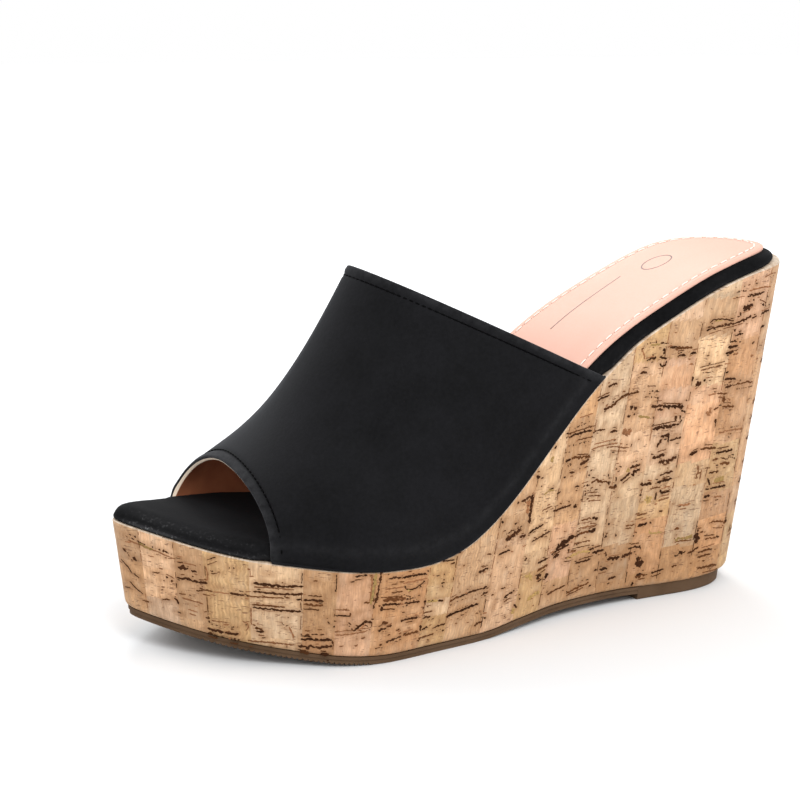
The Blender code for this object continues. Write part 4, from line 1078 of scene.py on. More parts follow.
    ("rust", 0.9, (27.8, 17.4), (25.0, 17.2), (22.4, 16.8)),
    ("ink", 0.9, (22.4, 17.0), (20.6, 17.0)),
    ("rust", 0.8, (27.2, 22.6), (24.2, 22.6), (21.0, 22.0), (18.0, 21.0)),
    ("ink", 1.3, (19.2, 22.0), (17.6, 21.6)),
    ("ink", 1.3, (31.9, 31.8), (30.4, 32.1), (29.2, 32.0)),
    ("ink", 1.0, (31.8, 34.6), (30.2, 34.6)),
    ("ink", 0.9, (29.8, 34.7), (27.0, 34.6), (24.4, 34.6), (22.4, 34.4)),
    ("olive", 2.2, (28.8, 37.0), (26.2, 37.2), (23.8, 37.0)),
    ("ink", 0.9, (31.8, 38.2), (30.6, 36.6), (30.2, 35.8)),
    ("rust", 1.0, (31.6, 39.8), (29.4, 40.2), (27.4, 40.0)),
    ("ink", 1.3, (29.0, 42.2), (28.0, 42.2)),
    ("rust", 1.0, (27.4, 42.6), (24.6, 42.4), (22.4, 42.0)),
    ("rust", 0.9, (31.0, 44.4), (28.6, 44.2)),
    ("thin", 0.7, (30.4, 53.2), (26.6, 53.4), (22.6, 53.2), (18.6, 52.6)),
    ("ink", 1.0, (25.8, 51.2), (25.2, 50.8)),
    ("bead", 0.9, (24.0, 44.2), (21.4, 43.6), (19.2, 42.8)),
    ("thin", 1.0, (37.0, 43.0), (36.2, 41.0), (36.8, 39.0)),
    ("thin", 0.7, (35.2, 41.6), (35.0, 38.2)),
    ("thin", 0.8, (27.4, 31.4), (23.4, 31.0)),
    ("ink", 1.0, (60.4, 24.2), (59.8, 24.0)),
    # heel back corner
    ("ink", 0.9, (14.4, 86.4), (12.0, 86.8)),
    ("bead", 0.9, (13.2, 80.6), (10.6, 80.2)),
    ("ink", 1.0, (12.8, 74.0), (9.8, 74.2)),
    ("rust", 0.9, (14.0, 60.2), (10.2, 60.6)),
    ("ink", 0.8, (13.6, 55.2), (9.2, 55.4)),
    ("ink", 1.0, (14.2, 48.4), (11.0, 48.8)),
    ("rust", 1.0, (12.6, 40.6), (9.6, 40.8)),
    ("ink", 1.0, (12.4, 34.0), (9.0, 34.4)),
    ("ink", 1.2, (11.4, 27.4), (9.2, 27.6)),
    ("rust", 0.9, (14.6, 17.4), (9.8, 17.6)),
    ("ink", 1.2, (9.4, 19.6), (8.8, 17.8)),
]

# Where the chart was read aslant: stretches of stations and heights, and how far their marks move.
# Each stretch fades in and out over SLIP_EDGE. All in mm.
SLIP_EDGE = 5
Slip = namedtuple("Slip", "start end low high along up")
CHART_SLIPS = [
    Slip(10, 42, -9, 76, -6.2, 0.5),
    Slip(42, 60, 48, 77, -4.8, 0.4),
    Slip(42, 51, -9, 48, -2.6, 0.2),
    Slip(60, 72, 58, 90, -1.8, 0.5),
    Slip(66, 90, 22, 52, -3.4, -1.7),
    Slip(-9, 60, 77, 120, -1.6, 0.0),
    Slip(90, 100, -9, 60, -1.8, -0.8),
]

INKS = {
    "ink": (0.036, 0.014, 0.006),
    "rust": (0.082, 0.032, 0.012),
    "thin": (0.190, 0.088, 0.042),
    "olive": (0.270, 0.180, 0.070),
    "bead": (0.048, 0.019, 0.008),
}
STAINS = {"ink": 0.65, "rust": 0.55, "thin": 0.3, "olive": 0.2, "bead": 0.5}
MARK_LIFT = 0.00006
MARK_ROOT = 0.0003

cork_end_cache = {}


def wrap_foot(station, side, inset):
    """The sheet stands a little proud of the solid's lower edge at the back of the heel."""
    x, y = bottom_edge(station, side, inset)
    return x - 0.0013 * (1 - smooth_step(station / 0.30)), y


def wrap_head(station, side, inset):
    x, y = top_edge(station, side, inset)
    return x - 0.0011 * (1 - smooth_step(station / 0.30)), y


def wrap_rise(station):
    """The sheet's upper edge laps up the footbed's side, mostly at the back of the heel."""
    return 0.0019 * (1 - smooth_step(station / 0.10)) + 0.0008 * (1 - smooth_step((station - 0.28) / 0.06))


def wrap_round(station):
    return mix(0.0017, 0.0004, smooth_step(station / 0.10))


def cork_ends(station, side):
    """The two ends of the cork's side line at a station, between the rounds of its edges."""
    key = (round(float(station), 7), side)
    if key not in cork_end_cache:
        x, y = wrap_foot(station, side, 0)
        foot = Vector((x, y, wrap_bottom(x) + WEDGE_BOTTOM_EDGE))
        head = on_top(wrap_head(station, side, 0), wrap_rise(station) - wrap_round(station))
        cork_end_cache[key] = foot, head
    return cork_end_cache[key]


def sheet_floor(station_mm):
    return cork_ends(station_mm * MM / WEDGE_LENGTH, 1)[0].z / MM


def sheet_roof(station_mm):
    return cork_ends(station_mm * MM / WEDGE_LENGTH, 1)[1].z / MM


def cork_point(station_mm, height_mm, side):
    """(point, outward normal) on the cork's side."""
    station = min(max(station_mm * MM / WEDGE_LENGTH, 0.0), 1.0)

    def at(s, z):
        s = min(max(s, 0.0), 1.0)
        foot, head = cork_ends(s, side)
        return foot.lerp(head, (z * MM - foot.z) / (head.z - foot.z))

    here = at(station, height_mm)
    if station < 0.002 or station > 0.998:
        along = Vector((0, 1 if station < 0.5 else -1, 0))
    else:
        along = at(station + 0.001, height_mm) - at(station - 0.001, height_mm)
    up = at(station, height_mm + 1) - here
    normal = up.cross(along).normalized() * (1 if side > 0 else -1)
    centre = Vector((here.x * 0.9, centre_line(0.5), here.z))
    if normal.dot(here - centre) < 0:
        normal = -normal
    return here, normal


def swell(point):
    """Low relief of the sheet, in metres."""
    return 0.00007 * noise.noise(point * 110) + 0.00003 * noise.noise(point * 420)


def speckled(marks, rng):
    """The charted marks with small crumbs of bark beside them."""
    crumbs = []
    for look, thick, *path in marks:
        if look == "olive":
            continue
        for (s0, z0), (s1, z1) in zip(path, path[1:]):
            for _ in range(int(math.hypot(s1 - s0, z1 - z0) / 2.6 + rng.random())):
                t, off = rng.random(), rng.choice((-1, 1)) * rng.uniform(0.5, 1.9)
                s, z = mix(s0, s1, t) + rng.uniform(-0.5, 0.5), mix(z0, z1, t) + off
                long = rng.uniform(0.25, 1.3)
                kind = rng.choice(("ink", "rust", "thin", "bead"))
                thin = rng.uniform(0.28, 0.6)
                crumbs.append((kind, thin, (s + long, z + rng.uniform(-0.15, 0.15)), (s, z)))
        # A fainter line often runs beside a long mark
        (s0, z0), (s1, z1) = path[0], path[-1]
        if math.hypot(s1 - s0, z1 - z0) > 2.2 and abs(z1 - z0) < abs(s1 - s0) and rng.random() < 0.8:
            off = rng.choice((-1, 1)) * rng.uniform(0.8, 1.8)
            a, b = rng.uniform(-0.15, 0.4), rng.uniform(0.6, 1.15)
            kind = rng.choice(("thin", "rust", "rust", "bead"))
            ends = [(mix(s0, s1, share), mix(z0, z1, share) + off) for share in (a, (a + b) / 2, b)]
            crumbs.append((kind, rng.uniform(0.3, 0.55), *ends))
    return marks + crumbs


def mark_tubes(marks, side, rng):
    """Flat closed slivers that lie in the cork's face, with their looks."""
    tubes, looks = [], []
    for look, thick, *path in marks:
        spots = [Vector((s, z, 0)) for s, z in path]
        lengths = [0.0]
        for a, b in zip(spots, spots[1:]):
            lengths.append(lengths[-1] + (b - a).length)
        total = lengths[-1]
        count = max(3, int(total / 0.24))
        own = rng.random() * 40
        samples = []
        for i in range(count + 1):
            d = total * i / count
            k = max(j for j in range(len(lengths) - 1) if lengths[j] <= d + 1e-9)
            t = (d - lengths[k]) / max(1e-9, lengths[k + 1] - lengths[k])
            spot = spots[k].lerp(spots[k + 1], t)
            rough = min(1.0, thick)
            low_wave = noise.noise(Vector((d * 0.9, own, side)))
            spot.y += rough * (0.26 * low_wave + 0.12 * noise.noise(Vector((d * 3.7, own, 5))))
            ends = min(1.0, (min(d, total - d) + 0.12) / (0.40 * thick + 0.25)) ** 0.6
            halves = []
            for edge in (2.0, 7.0):
                wave = 0.86 + 1.0 * noise.noise(Vector((d * 1.3, own, edge)))
                fine = noise.noise(Vector((d * 4.1, own, edge))), noise.noise(Vector((d * 9.0, own, edge)))
                wave += 0.5 * fine[0] + 0.3 * fine[1]
                if thick > 1.3:
                    wave += 0.8 * noise.noise(Vector((d * 2.6, own, edge + 4)))
                if look == "bead":
                    wave *= max(0.0, 0.30 + 1.8 * noise.noise(Vector((d * 1.7, own, 9.0))))
                halves.append(max(0.0, 0.54 * thick * wave * ends))
            if thick > 1.3:
                spot.y += 0.45 * noise.noise(Vector((d * 1.9, own, 12)))
            samples.append((spot, halves))
        run = []
        for spot, halves in samples + [(None, (0, 0))]:
            if spot is not None and sum(halves) > 0.10:
                run.append((spot, halves))
                continue
            if len(run) == 1 and sum(run[0][1]) > 0.22:
                centre, (a, b) = run[0]
                wide, ends = Vector(((a + b) / 2, 0, 0)), (a * 0.4, b * 0.4)
                run = [(centre - wide, ends), run[0], (centre + wide, ends)]
            if len(run) >= 2:
                tubes.append(sliver(run, side))
                looks.append(look)
            run = []
    return tubes, looks


def sliver(run, side):
    rings = []
    placed = [cork_point(spot.x, spot.y, side) for spot, _ in run]
    for i, (_, (above, below)) in enumerate(run):
        point, normal = placed[i]
        near = placed[min(i + 1, len(run) - 1)][0] - placed[max(i - 1, 0)][0]
        if near.length < 1e-9:
            near = Vector((1, 0, 0))
        across = normal.cross(near).normalized()
        if across.z < 0:
            across = -across
        point = point + normal * swell(point)
        low, high = -below * MM, above * MM
        ring = [
            point + across * low - normal * MARK_LIFT,
            point + across * low * 0.6 + normal * MARK_LIFT,
            point + across * high * 0.6 + normal * MARK_LIFT,
            point + across * high - normal * MARK_LIFT,
            point - normal * MARK_ROOT,
        ]
        # A ring runs the same way round as the sliver goes, so its faces turn outwards
        rings.append(ring if across.cross(near).dot(normal) > 0 else ring[::-1])
    return rings


def window(value, start, end):
    """1 within a stretch, 0 outside it, with soft edges."""
    begun = smooth_step((value - start) / SLIP_EDGE + 0.5)
    return begun * (1 - smooth_step((value - end) / SLIP_EDGE + 0.5))


def placed_chart(marks):
    """The chart with its slips put right; each mark moves as one."""
    placed = []
    for look, thick, *path in marks:
        station, height = (sum(values) / len(path) for values in zip(*path))
        along = up = 0.0
        for slip in CHART_SLIPS:
            share = window(station, slip.start, slip.end) * window(height, slip.low, slip.high)
            along += share * slip.along
            up += share * slip.up
        placed.append((look, thick, *((s + along, z + up) for s, z in path)))
    return placed


def turned_chart(marks, strips):
    """The lateral chart for the side that the photograph doesn't show: each strip turned end for end."""
    edges = [strip.start for strip in strips] + [WEDGE_LENGTH / MM]
    turned = []
    for look, thick, *path in marks:
        middle = sum(s for s, _ in path) / len(path)
        k = max(i for i, edge in enumerate(edges[:-1]) if edge <= max(middle, 0))
        points = []
        for s, z in path:
            s_new = edges[k] + edges[k + 1] - s
            share = (z - sheet_floor(s)) / (sheet_roof(s) - sheet_floor(s))
            points.append((s_new, mix(sheet_roof(s_new), sheet_floor(s_new), share)))
        turned.append((look, thick, *points[::-1]))
    return turned


def seam_marks(strips, rng):
    """Broken dark lines where one strip of sheet meets the next."""
    marks = []
    for strip in strips[1:]:
        z = sheet_floor(strip.start) + 0.5
        roof = sheet_roof(strip.start) - 0.5
        while z < roof:
            long = rng.uniform(1.0, 5.5)
            if rng.random() < 0.62:
                look = rng.choice(("thin", "rust", "thin", "ink"))
                s = strip.start + rng.uniform(-0.15, 0.15)
                end = min(z + long, roof)
                marks.append((look, rng.uniform(0.22, 0.40), (s, z), (s + rng.uniform(-0.15, 0.15), end)))
            z += long + rng.uniform(0.2, 2.0)
    return marks


def stray_flecks(rng, count=150):
    """Faint flecks anywhere on the sheet."""
    flecks = []
    for _ in range(count):
        s = rng.uniform(4, 220)
        z = rng.uniform(sheet_floor(s) + 0.5, sheet_roof(s) - 1.5)
        look, thick = rng.choice(("thin", "rust", "bead")), rng.uniform(0.35, 0.7)
        flecks.append((look, thick, (s + rng.uniform(0.5, 2.0), z), (s, z + rng.uniform(-0.3, 0.3))))
    return flecks


# The sheet's mesh: columns on each side, and rows at its lower edge, up its side and at its upper edge
CORK_HALF = 300
CORK_COLUMNS = 2 * CORK_HALF
FOOT_ROWS, SIDE_ROWS, HEAD_ROWS = 4, 84, 3
FIRST_SIDE_ROW, LAST_SIDE_ROW = FOOT_ROWS, FOOT_ROWS + SIDE_ROWS
MEDIAL_TONES = ["tan", "pink", "pale", "gold", "rose", "grey", "tan", "orange"]


def cork_column(station, side):
    """The sheet's points at a station, from its lower edge up the side to its margin on top."""
    foot, head = cork_ends(station, side)
    points = []
    for k in range(FOOT_ROWS):
        angle = math.pi / 2 * k / FOOT_ROWS
        inset = WEDGE_BOTTOM_EDGE * (1 - math.sin(angle))
        rise = WEDGE_BOTTOM_EDGE * (1 - math.cos(angle))
        x, y = wrap_foot(station, side, inset)
        points.append(Vector((x, y, wrap_bottom(x) + rise)))
    for k in range(SIDE_ROWS + 1):
        points.append(foot.lerp(head, k / SIDE_ROWS))
    for k in range(1, HEAD_ROWS + 1):
        angle = math.pi / 2 * k / HEAD_ROWS
        radius = wrap_round(station)
        inset, drop = radius * (1 - math.cos(angle)), radius * (1 - math.sin(angle))
        points.append(on_top(wrap_head(station, side, inset), wrap_rise(station) - drop))
    points.append(on_top(wrap_head(station, side, LASTING_MARGIN), wrap_rise(station)))
    return points


def relieved_rows(columns):
    """The columns' points as rows, with low relief on the side rows."""
    rows = [[column[i] for column in columns] for i in range(len(columns[0]))]
    first, last = FIRST_SIDE_ROW, LAST_SIDE_ROW
    for j in range(CORK_COLUMNS):
        before, after = columns[j - 1], columns[(j + 1) % CORK_COLUMNS]
        for i in range(first, last + 1):
            p = columns[j][i]
            along = after[i] - before[i]
            up = rows[min(i + 1, last)][j] - rows[max(i - 1, first)][j]
            normal = along.cross(up).normalized()
            if normal.dot(p - Vector((p.x * 0.9, centre_line(0.5), p.z))) < 0:
                normal = -normal
            fade = min(1.0, min(i - first, last - i) / 3)
            rows[i][j] = p + normal * swell(p) * fade
    return rows


def faces_of_loops(mesh):
    totals = np.zeros(len(mesh.polygons), np.int32)
    mesh.polygons.foreach_get("loop_total", totals)
    return np.repeat(np.arange(len(totals)), totals)


def add_cork_map(mesh, columns, rows, heights_cm):
    """A map in centimetres: round the shoe, and up."""
    middle = [column[(FIRST_SIDE_ROW + LAST_SIDE_ROW) // 2] for column in columns]
    around = [0.0]
    for a, b in zip(middle, middle[1:] + middle[:1]):
        around.append(around[-1] + (b - a).length)
    vertex = np.zeros(len(mesh.loops), np.int32)
    mesh.loops.foreach_get("vertex_index", vertex)
    column_of = vertex % CORK_COLUMNS
    u = np.array(around)[column_of] * 100
    # The faces that close the ring end at the full length, not at its start
    face_of = faces_of_loops(mesh)
    starts_ring = np.zeros(len(mesh.polygons), bool)
    ends_ring = np.zeros(len(mesh.polygons), bool)
    np.logical_or.at(starts_ring, face_of, column_of == 0)
    np.logical_or.at(ends_ring, face_of, column_of == CORK_COLUMNS - 1)
    side_faces = (len(rows) - 1) * CORK_COLUMNS
    closing = (starts_ring & ends_ring)[face_of] & (column_of == 0) & (face_of < side_faces)
    u[closing] = around[-1] * 100
    uv = np.stack([u, heights_cm[vertex]], 1).astype(np.float32)
    layer = mesh.uv_layers.new(name="cork_map")
    layer.data.foreach_set("uv", uv.ravel())


def strip_cuts(strips, rng):
    """Heights where a strip is pieced, with the brightness, warmth and seed shift above each."""
    cuts = {}
    for strip in strips:
        z, rows = rng.uniform(4, 16), []
        while z < 112:
            rows.append((z, rng.uniform(0.86, 1.10), rng.uniform(-0.045, 0.045), rng.uniform(-0.18, 0.10)))
            z += rng.uniform(6.0, 21.0)
        cuts[strip.start] = rows
    return cuts


def lateral_tone(strip, position, height):
    tone, seed = strip.tone, strip.seed
    for block in LATERAL_BLOCKS:
        if block.start <= position < block.end and block.low <= height < block.high:
            tone, seed = block.tone, block.seed
    return tone, seed


def medial_tone(strip, height):
    if (math.floor(height / (17 + 14 * strip.seed)) + int(strip.seed * 10)) % 3 == 0:
        return MEDIAL_TONES[int(strip.seed * 97) % len(MEDIAL_TONES)], (strip.seed * 7) % 1
    return strip.tone, strip.seed


def add_cork_tones(mesh, heights_cm, station_mm, medial_strips, rng):
    """The tone of each face's strip or block, darkened towards the floor as painted shade, and in its fourth
    channel the strip's seed.
    """
    lateral_cuts = strip_cuts(LATERAL_STRIPS, rng)
    medial_cuts = strip_cuts(medial_strips, rng)
    face_tone = np.ones((len(mesh.polygons), 4), np.float32)
    for f, polygon in enumerate(mesh.polygons):
        vertices = list(polygon.vertices)
        columns = [v % CORK_COLUMNS for v in vertices]
        row = min(v // CORK_COLUMNS for v in vertices)
        position = sum(station_mm[c] for c in columns) / len(columns)
        height = sum(heights_cm[v] for v in vertices) / len(vertices) * 10
        lateral = max(columns) <= CORK_HALF
        strips, cuts = (LATERAL_STRIPS, lateral_cuts) if lateral else (medial_strips, medial_cuts)
        strip = [s for s in strips if s.start <= position][-1]
        tone, seed = lateral_tone(strip, position, height) if lateral else medial_tone(strip, height)
        below = [cut for cut in cuts[strip.start] if cut[0] <= height]
        _, bright, warm, shift = ([(0, 1.0, 0.0, 0.0)] + below)[-1]
        if row >= LAST_SIDE_ROW:
            tone, bright, warm = "edge", 1.0, 0.0
        # Painted shade: the sheet darkens towards the floor, where less light falls from above
        bright *= mix(0.92, 1.05, smooth_step((height - 5) / 35))
        tint = (bright * (1 + warm), bright, bright * (1 - 1.6 * warm))
        face_tone[f, :3] = [a * b for a, b in zip(TONES[tone], tint)]
        face_tone[f, 3] = min(max(seed + shift * (seed < 0.85), 0.0), 1.0)
    layer = mesh.attributes.new("tone", "FLOAT_COLOR", "CORNER")
    layer.data.foreach_set("color", face_tone[faces_of_loops(mesh)].ravel())


def add_cork_stain(mesh, heights_cm, station_mm, charts):
    """Stain in the sheet round the marks, fading with the distance from them."""
    stain = np.zeros(len(mesh.vertices), np.float32)
    heights_mm = heights_cm * 10
    column_of = np.arange(len(mesh.vertices)) % CORK_COLUMNS
    vertex_station = station_mm[column_of]
    for side, chart in charts.items():
        own = column_of <= CORK_HALF if side == 1 else (column_of > CORK_HALF) | (column_of == 0)
        for look, thick, *path in chart:
            reach = 0.5 * thick + 0.9
            for (s0, z0), (s1, z1) in zip(path, path[1:]):
                near = own & (vertex_station > min(s0, s1) - 3) & (vertex_station < max(s0, s1) + 3)
                near &= (heights_mm > min(z0, z1) - 3) & (heights_mm < max(z0, z1) + 3)
                index = np.nonzero(near)[0]
                if not len(index):
                    continue
                p = np.stack([vertex_station[index], heights_mm[index]], 1)
                a, b = np.array([s0, z0]), np.array([s1, z1])
                t = np.clip(((p - a) @ (b - a)) / max(1e-9, float((b - a) @ (b - a))), 0, 1)
                d = np.linalg.norm(p - (a + t[:, None] * (b - a)), axis=1)
                stain[index] = np.maximum(stain[index], STAINS[look] * np.exp(-((d / reach) ** 2)))
    layer = mesh.attributes.new("stain", "FLOAT", "POINT")
    layer.data.foreach_set("value", stain)


def build_bark(name, chart, side, rng):
    tubes, looks = mark_tubes(chart, side, rng)
    marks = join_tubes(name, tubes, [BARK])
    colours = []
    for rings, look in zip(tubes, looks):
        shade = rng.uniform(0.7, 1.35)
        colour = [c * shade for c in INKS[look]] + [1.0]
        colours += [colour] * (len(rings) * len(rings[0]))
    layer = marks.data.attributes.new("ink", "FLOAT_COLOR", "POINT")
    layer.data.foreach_set("color", np.array(colours, np.float32).ravel())
    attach(marks, "root")


def build_cork():
    rng = random.Random(11)
    medial_strips = [Strip(strip.start, rng.choice(MEDIAL_TONES), rng.random()) for strip in LATERAL_STRIPS]
    stations = list(outline_stations(CORK_HALF))
    columns = [cork_column(s, 1) for s in stations] + [cork_column(s, -1) for s in stations[-2:0:-1]]
    rows = relieved_rows(columns)
    sheet = stacked_rows("cork_wrap", rows, CORK_HALF, [CORK])
    heights_cm = np.array([p.z for row in rows for p in row]) * 100
    station_mm = np.array([s * WEDGE_MM for s in stations + stations[-2:0:-1]])
    add_cork_map(sheet.data, columns, rows, heights_cm)
    add_cork_tones(sheet.data, heights_cm, station_mm, medial_strips, rng)

    flecks = stray_flecks(rng)
    lateral = placed_chart(LATERAL_MARKS)
    medial = turned_chart(lateral, medial_strips)
    charts = {1: speckled(lateral, rng) + seam_marks(LATERAL_STRIPS, rng) + flecks}
    charts[-1] = speckled(medial, rng) + seam_marks(medial_strips, rng)
    add_cork_stain(sheet.data, heights_cm, station_mm, charts)
    for side, name in ((1, "cork_bark_marks_lateral"), (-1, "cork_bark_marks_medial")):
        build_bark(name, charts[side], side, rng)
    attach(sheet, "root")
    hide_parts("wedge")


# Footbed and sock


def open_share(station, side):
    """0 where the upper covers the footbed's side, 1 where the side is bare."""
    spans = (GIRTHS[-1].lateral, GIRTHS[0].lateral) if side > 0 else (GIRTHS[-1].medial, GIRTHS[0].medial)
    beyond = max(spans[0] - station, station - spans[1]) * WEDGE_LENGTH
    return smooth_step((beyond - 0.0004) / 0.0035)


# The footbed's edge, as inset from the cork's edge and height, in millimetres
EDGE_TOP = 4.8
BARE_EDGE = [
    (1.3, 0.0), (0.50, 0.0), (0.28, 0.30), (0.20, 0.80), (0.28, 1.40), (0.50, 2.1),
    (0.90, 2.85), (1.45, 3.55), (2.1, 4.15), (2.8, 4.55), (3.6, EDGE_TOP),
]
TOE_EDGE = [
    (1.3, 0.0), (0.40, 0.0), (0.15, 0.25), (0.05, 0.70), (0.15, 1.25), (0.40, 2.1),
    (0.85, 3.0), (1.6, 3.8), (2.8, 4.4), (4.4, 4.7), (6.5, EDGE_TOP),
]
COVERED_EDGE = [
    (2.7, 0.0), (1.9, 0.0), (1.55, 0.3), (1.42, 1.0), (1.40, 2.0), (1.48, 3.0),
    (1.66, 3.75), (1.95, 4.3), (2.35, 4.62), (2.9, 4.78), (3.6, EDGE_TOP),
]
FOOTBED_HALF = 260


def footbed_level(k):
    def level(station, side):
        share = smooth_step((station - 0.70) / 0.12)
        bare = [mix(a, b, share) for a, b in zip(BARE_EDGE[k], TOE_EDGE[k])]
        inset, height = (mix(a, b, open_share(station, side)) for a, b in zip(COVERED_EDGE[k], bare))
        inset += 1.6 * (1 - smooth_step(station / 0.07))
        rise = mix(wrap_rise(station), FOOTBED_THICKNESS, height / EDGE_TOP)
        return on_top(top_edge(station, side, inset * MM), FIT_GAP + rise)

    return level


def build_footbed():
    levels = [footbed_level(k) for k in range(len(BARE_EDGE))]
    obj = stacked("footbed_wrap", outline_stations(FOOTBED_HALF), levels, [FOOTBED_NUBUCK], 70)
    wear_and_highlight = []
    for vertex in obj.data.vertices:
        p = vertex.co.copy()
        vertex.co = p + Vector((0, 0, 1)) * 0.00006 * noise.noise(p * 160)
        level = vertex.index // (2 * FOOTBED_HALF)
        # Pale patches, strongest at the toe: along the lower edge over the cork partly scuffs and partly
        # painted glints, along the rolled top a painted highlight
        toe = smooth_step((station_of(p.x) - 0.80) / 0.15)
        edge = math.exp(-(((level - 2.6) / 1.1) ** 2)) + 0.25 * math.exp(-(((level - 6.5) / 1.2) ** 2))
        patches = smooth_step((noise.noise(p * 55) + 0.35) / 0.6)
        wear_and_highlight.append(edge * patches * mix(0.10, 0.80, toe))
    layer = obj.data.attributes.new("wear_and_highlight", "FLOAT", "POINT")
    layer.data.foreach_set("value", wear_and_highlight)
    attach(obj, "root")
    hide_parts("footbed")


SOCK_BASE = FIT_GAP + FOOTBED_THICKNESS + FIT_GAP
STITCH_INSET = 0.0027


def sock_edge(station, side, inset):
    """The sock stands further in round the heel, where the footbed's edge rolls over."""
    return top_edge(station, side, SOCK_INSET + 0.0019 * (1 - smooth_step(station / 0.13)) + inset)


def sock_surface(station, side, inset, lift=0.0):
    return on_top(sock_edge(station, side, inset), SOCK_BASE + SOCK_THICKNESS + lift)


def build_sock():
    def level(inset, height):
        return lambda s, side: on_top(sock_edge(s, side, inset), SOCK_BASE + height)

    t = SOCK_THICKNESS
    groove = STITCH_INSET
    levels = [
        level(0.0002, -FIT_GAP * 0.9), level(0.0, 0.0), level(0.0, t * 0.55), level(t * 0.12, t * 0.82),
        level(t * 0.4, t), level(groove - 0.0009, t), level(groove - 0.0003, t - 0.00012),
        level(groove + 0.0003, t - 0.00012), level(groove + 0.0009, t), level(groove + 0.003, t),
    ]
    stations = outline_stations(230, SOCK_FRONT_SHARE)
    obj = open_stacked("sock_sheet", stations, levels, [SOCK])
    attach(obj, "root")
    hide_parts("sock")

    # White stitches a little way in from the edge
    stations = outline_stations(900, 0.60)
    line = [sock_surface(s, -1, STITCH_INSET) for s in stations[::-1]]
    line += [sock_surface(s, 1, STITCH_INSET) for s in stations[1:]]

    def up_at(p):
        return top_slope_axes(p.x)[1]

    # The sock's needle holes are darker capsules: painted shade
    tubes, holes = stitches_along(line, 0.0040, 0.0029, 0.00028, 0.00020, up_at, 0.00002)
    for name, made, material in (("sock_stitching", tubes, WHITE_THREAD), ("sock_needle_holes", holes, HOLE)):
        threads = join_tubes(name, made, [material])
        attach(threads, "root")

    # A plain ring and a plain line, in place of the printed name and size
    def strip(points, closed):
        rings = []
        count = len(points)
        for i, p in enumerate(points):
            before = points[i - 1] if closed or i else p
            after = points[(i + 1) % count] if closed or i < count - 1 else p
            along = (after - before).normalized()
            up = top_slope_axes(p.x)[1]
            across = up.cross(along).normalized()
            w = 0.00029
            low, high = across * w - up * 0.0001, across * w * 0.8 + up * 0.00004
            rings.append([p + low, p + high, p + high - across * w * 1.6, p + low - across * w * 2])
        return rings + [rings[0]] if closed else rings

    def on_sock(station_mm, y_mm):
        station = station_mm * MM / WEDGE_LENGTH
        x = WEDGE_LENGTH * (station - 0.5)
        return on_top((x, y_mm * MM - MIDDLE_SHIFT), SOCK_BASE + SOCK_THICKNESS)

    ring = []
    for k in range(72):
        angle = 2 * math.pi * k / 72
        ring.append(on_sock(34.8 + 4.6 * math.cos(angle), -5.1 + 4.8 * math.sin(angle)))
    line = [on_sock(mix(45.0, 72.0, i / 60), mix(-10.2, -6.5, i / 60)) for i in range(61)]
    print_obj = join_tubes("sock_ring_and_line", [strip(ring, True), strip(line, False)], [PRINT])
    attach(print_obj, "root")


# Where a stitch's rings stand along it, their size, and how far they dip
CAPSULE = [
    (-1, 0.25, 1.0), (-0.86, 0.72, 0.55), (-0.55, 0.98, 0.1), (0, 1.0, 0.0),
    (0.55, 0.98, 0.1), (0.86, 0.72, 0.55), (1, 0.25, 1.0),
]


def stitches_along(line, pitch, length, half_width, half_height, up_at, sink):
    """Capsule stitches at an even pitch along a line of points, and at their ends small darker capsules that
    paint the needle holes' shade.
    """
    lengths = [0.0]
    for a, b in zip(line, line[1:]):
        lengths.append(lengths[-1] + (b - a).length)

    def at(d):
        k = int(min(max(np.searchsorted(lengths, d) - 1, 0), len(line) - 2))
        t = (d - lengths[k]) / max(1e-9, lengths[k + 1] - lengths[k])
        return line[k].lerp(line[k + 1], t)

    def capsule(middle, length, half_width, half_height, sink):
        rings = []
        for share, scale, dip in CAPSULE:
            spot = middle + share * length / 2
            p = at(spot)
            axis = (at(spot + 0.0002) - at(spot - 0.0002)).normalized()
            up = up_at(p)
            across = up.cross(axis).normalized()
            centre = p + up * (half_height * 0.35 - sink - dip * half_height * 0.9)
            ring = []
            for k in range(8):
                angle = 2 * math.pi * k / 8
                out = across * (math.cos(angle) * half_width * scale)
                ring.append(centre + out + up * (math.sin(angle) * half_height * scale))
            rings.append(ring)
        return rings

    stitches, holes = [], []
    count = int(lengths[-1] / pitch)
    start = (lengths[-1] - count * pitch) / 2
    for i in range(count):
        middle = start + (i + 0.5) * pitch
        stitches.append(capsule(middle, length, half_width, half_height, sink))
        for end in (-1, 1):
            holes.append(capsule(middle + end * (length / 2 + 0.00012), 0.00034, 0.00016, 0.00006, sink))
    return stitches, holes


# Upper


def crown_point(along):
    x = (girth_curves["crown"](along) - 0.5) * WEDGE_LENGTH
    y = girth_curves["shift"](along) * BALL_WIDTH - MIDDLE_SHIFT
    return Vector((x, y, top_height(x) + girth_curves["rise"](along) * INSTEP_RISE))


def wall_foot(along, side, height):
    station = girth_curves["lateral" if side > 0 else "medial"](along)
    base = on_top(top_edge(station, side, -UPPER_OVERHANG), 0)
    lean = crown_point(along) - base
    lean.y = 0
    x = base.x
    forward, up = top_slope_axes(x)
    drift = height * lean.dot(forward) / lean.dot(up) * forward.x
    reached = station + drift / WEDGE_LENGTH
    return on_top(top_edge(reached, side, -UPPER_OVERHANG), height)


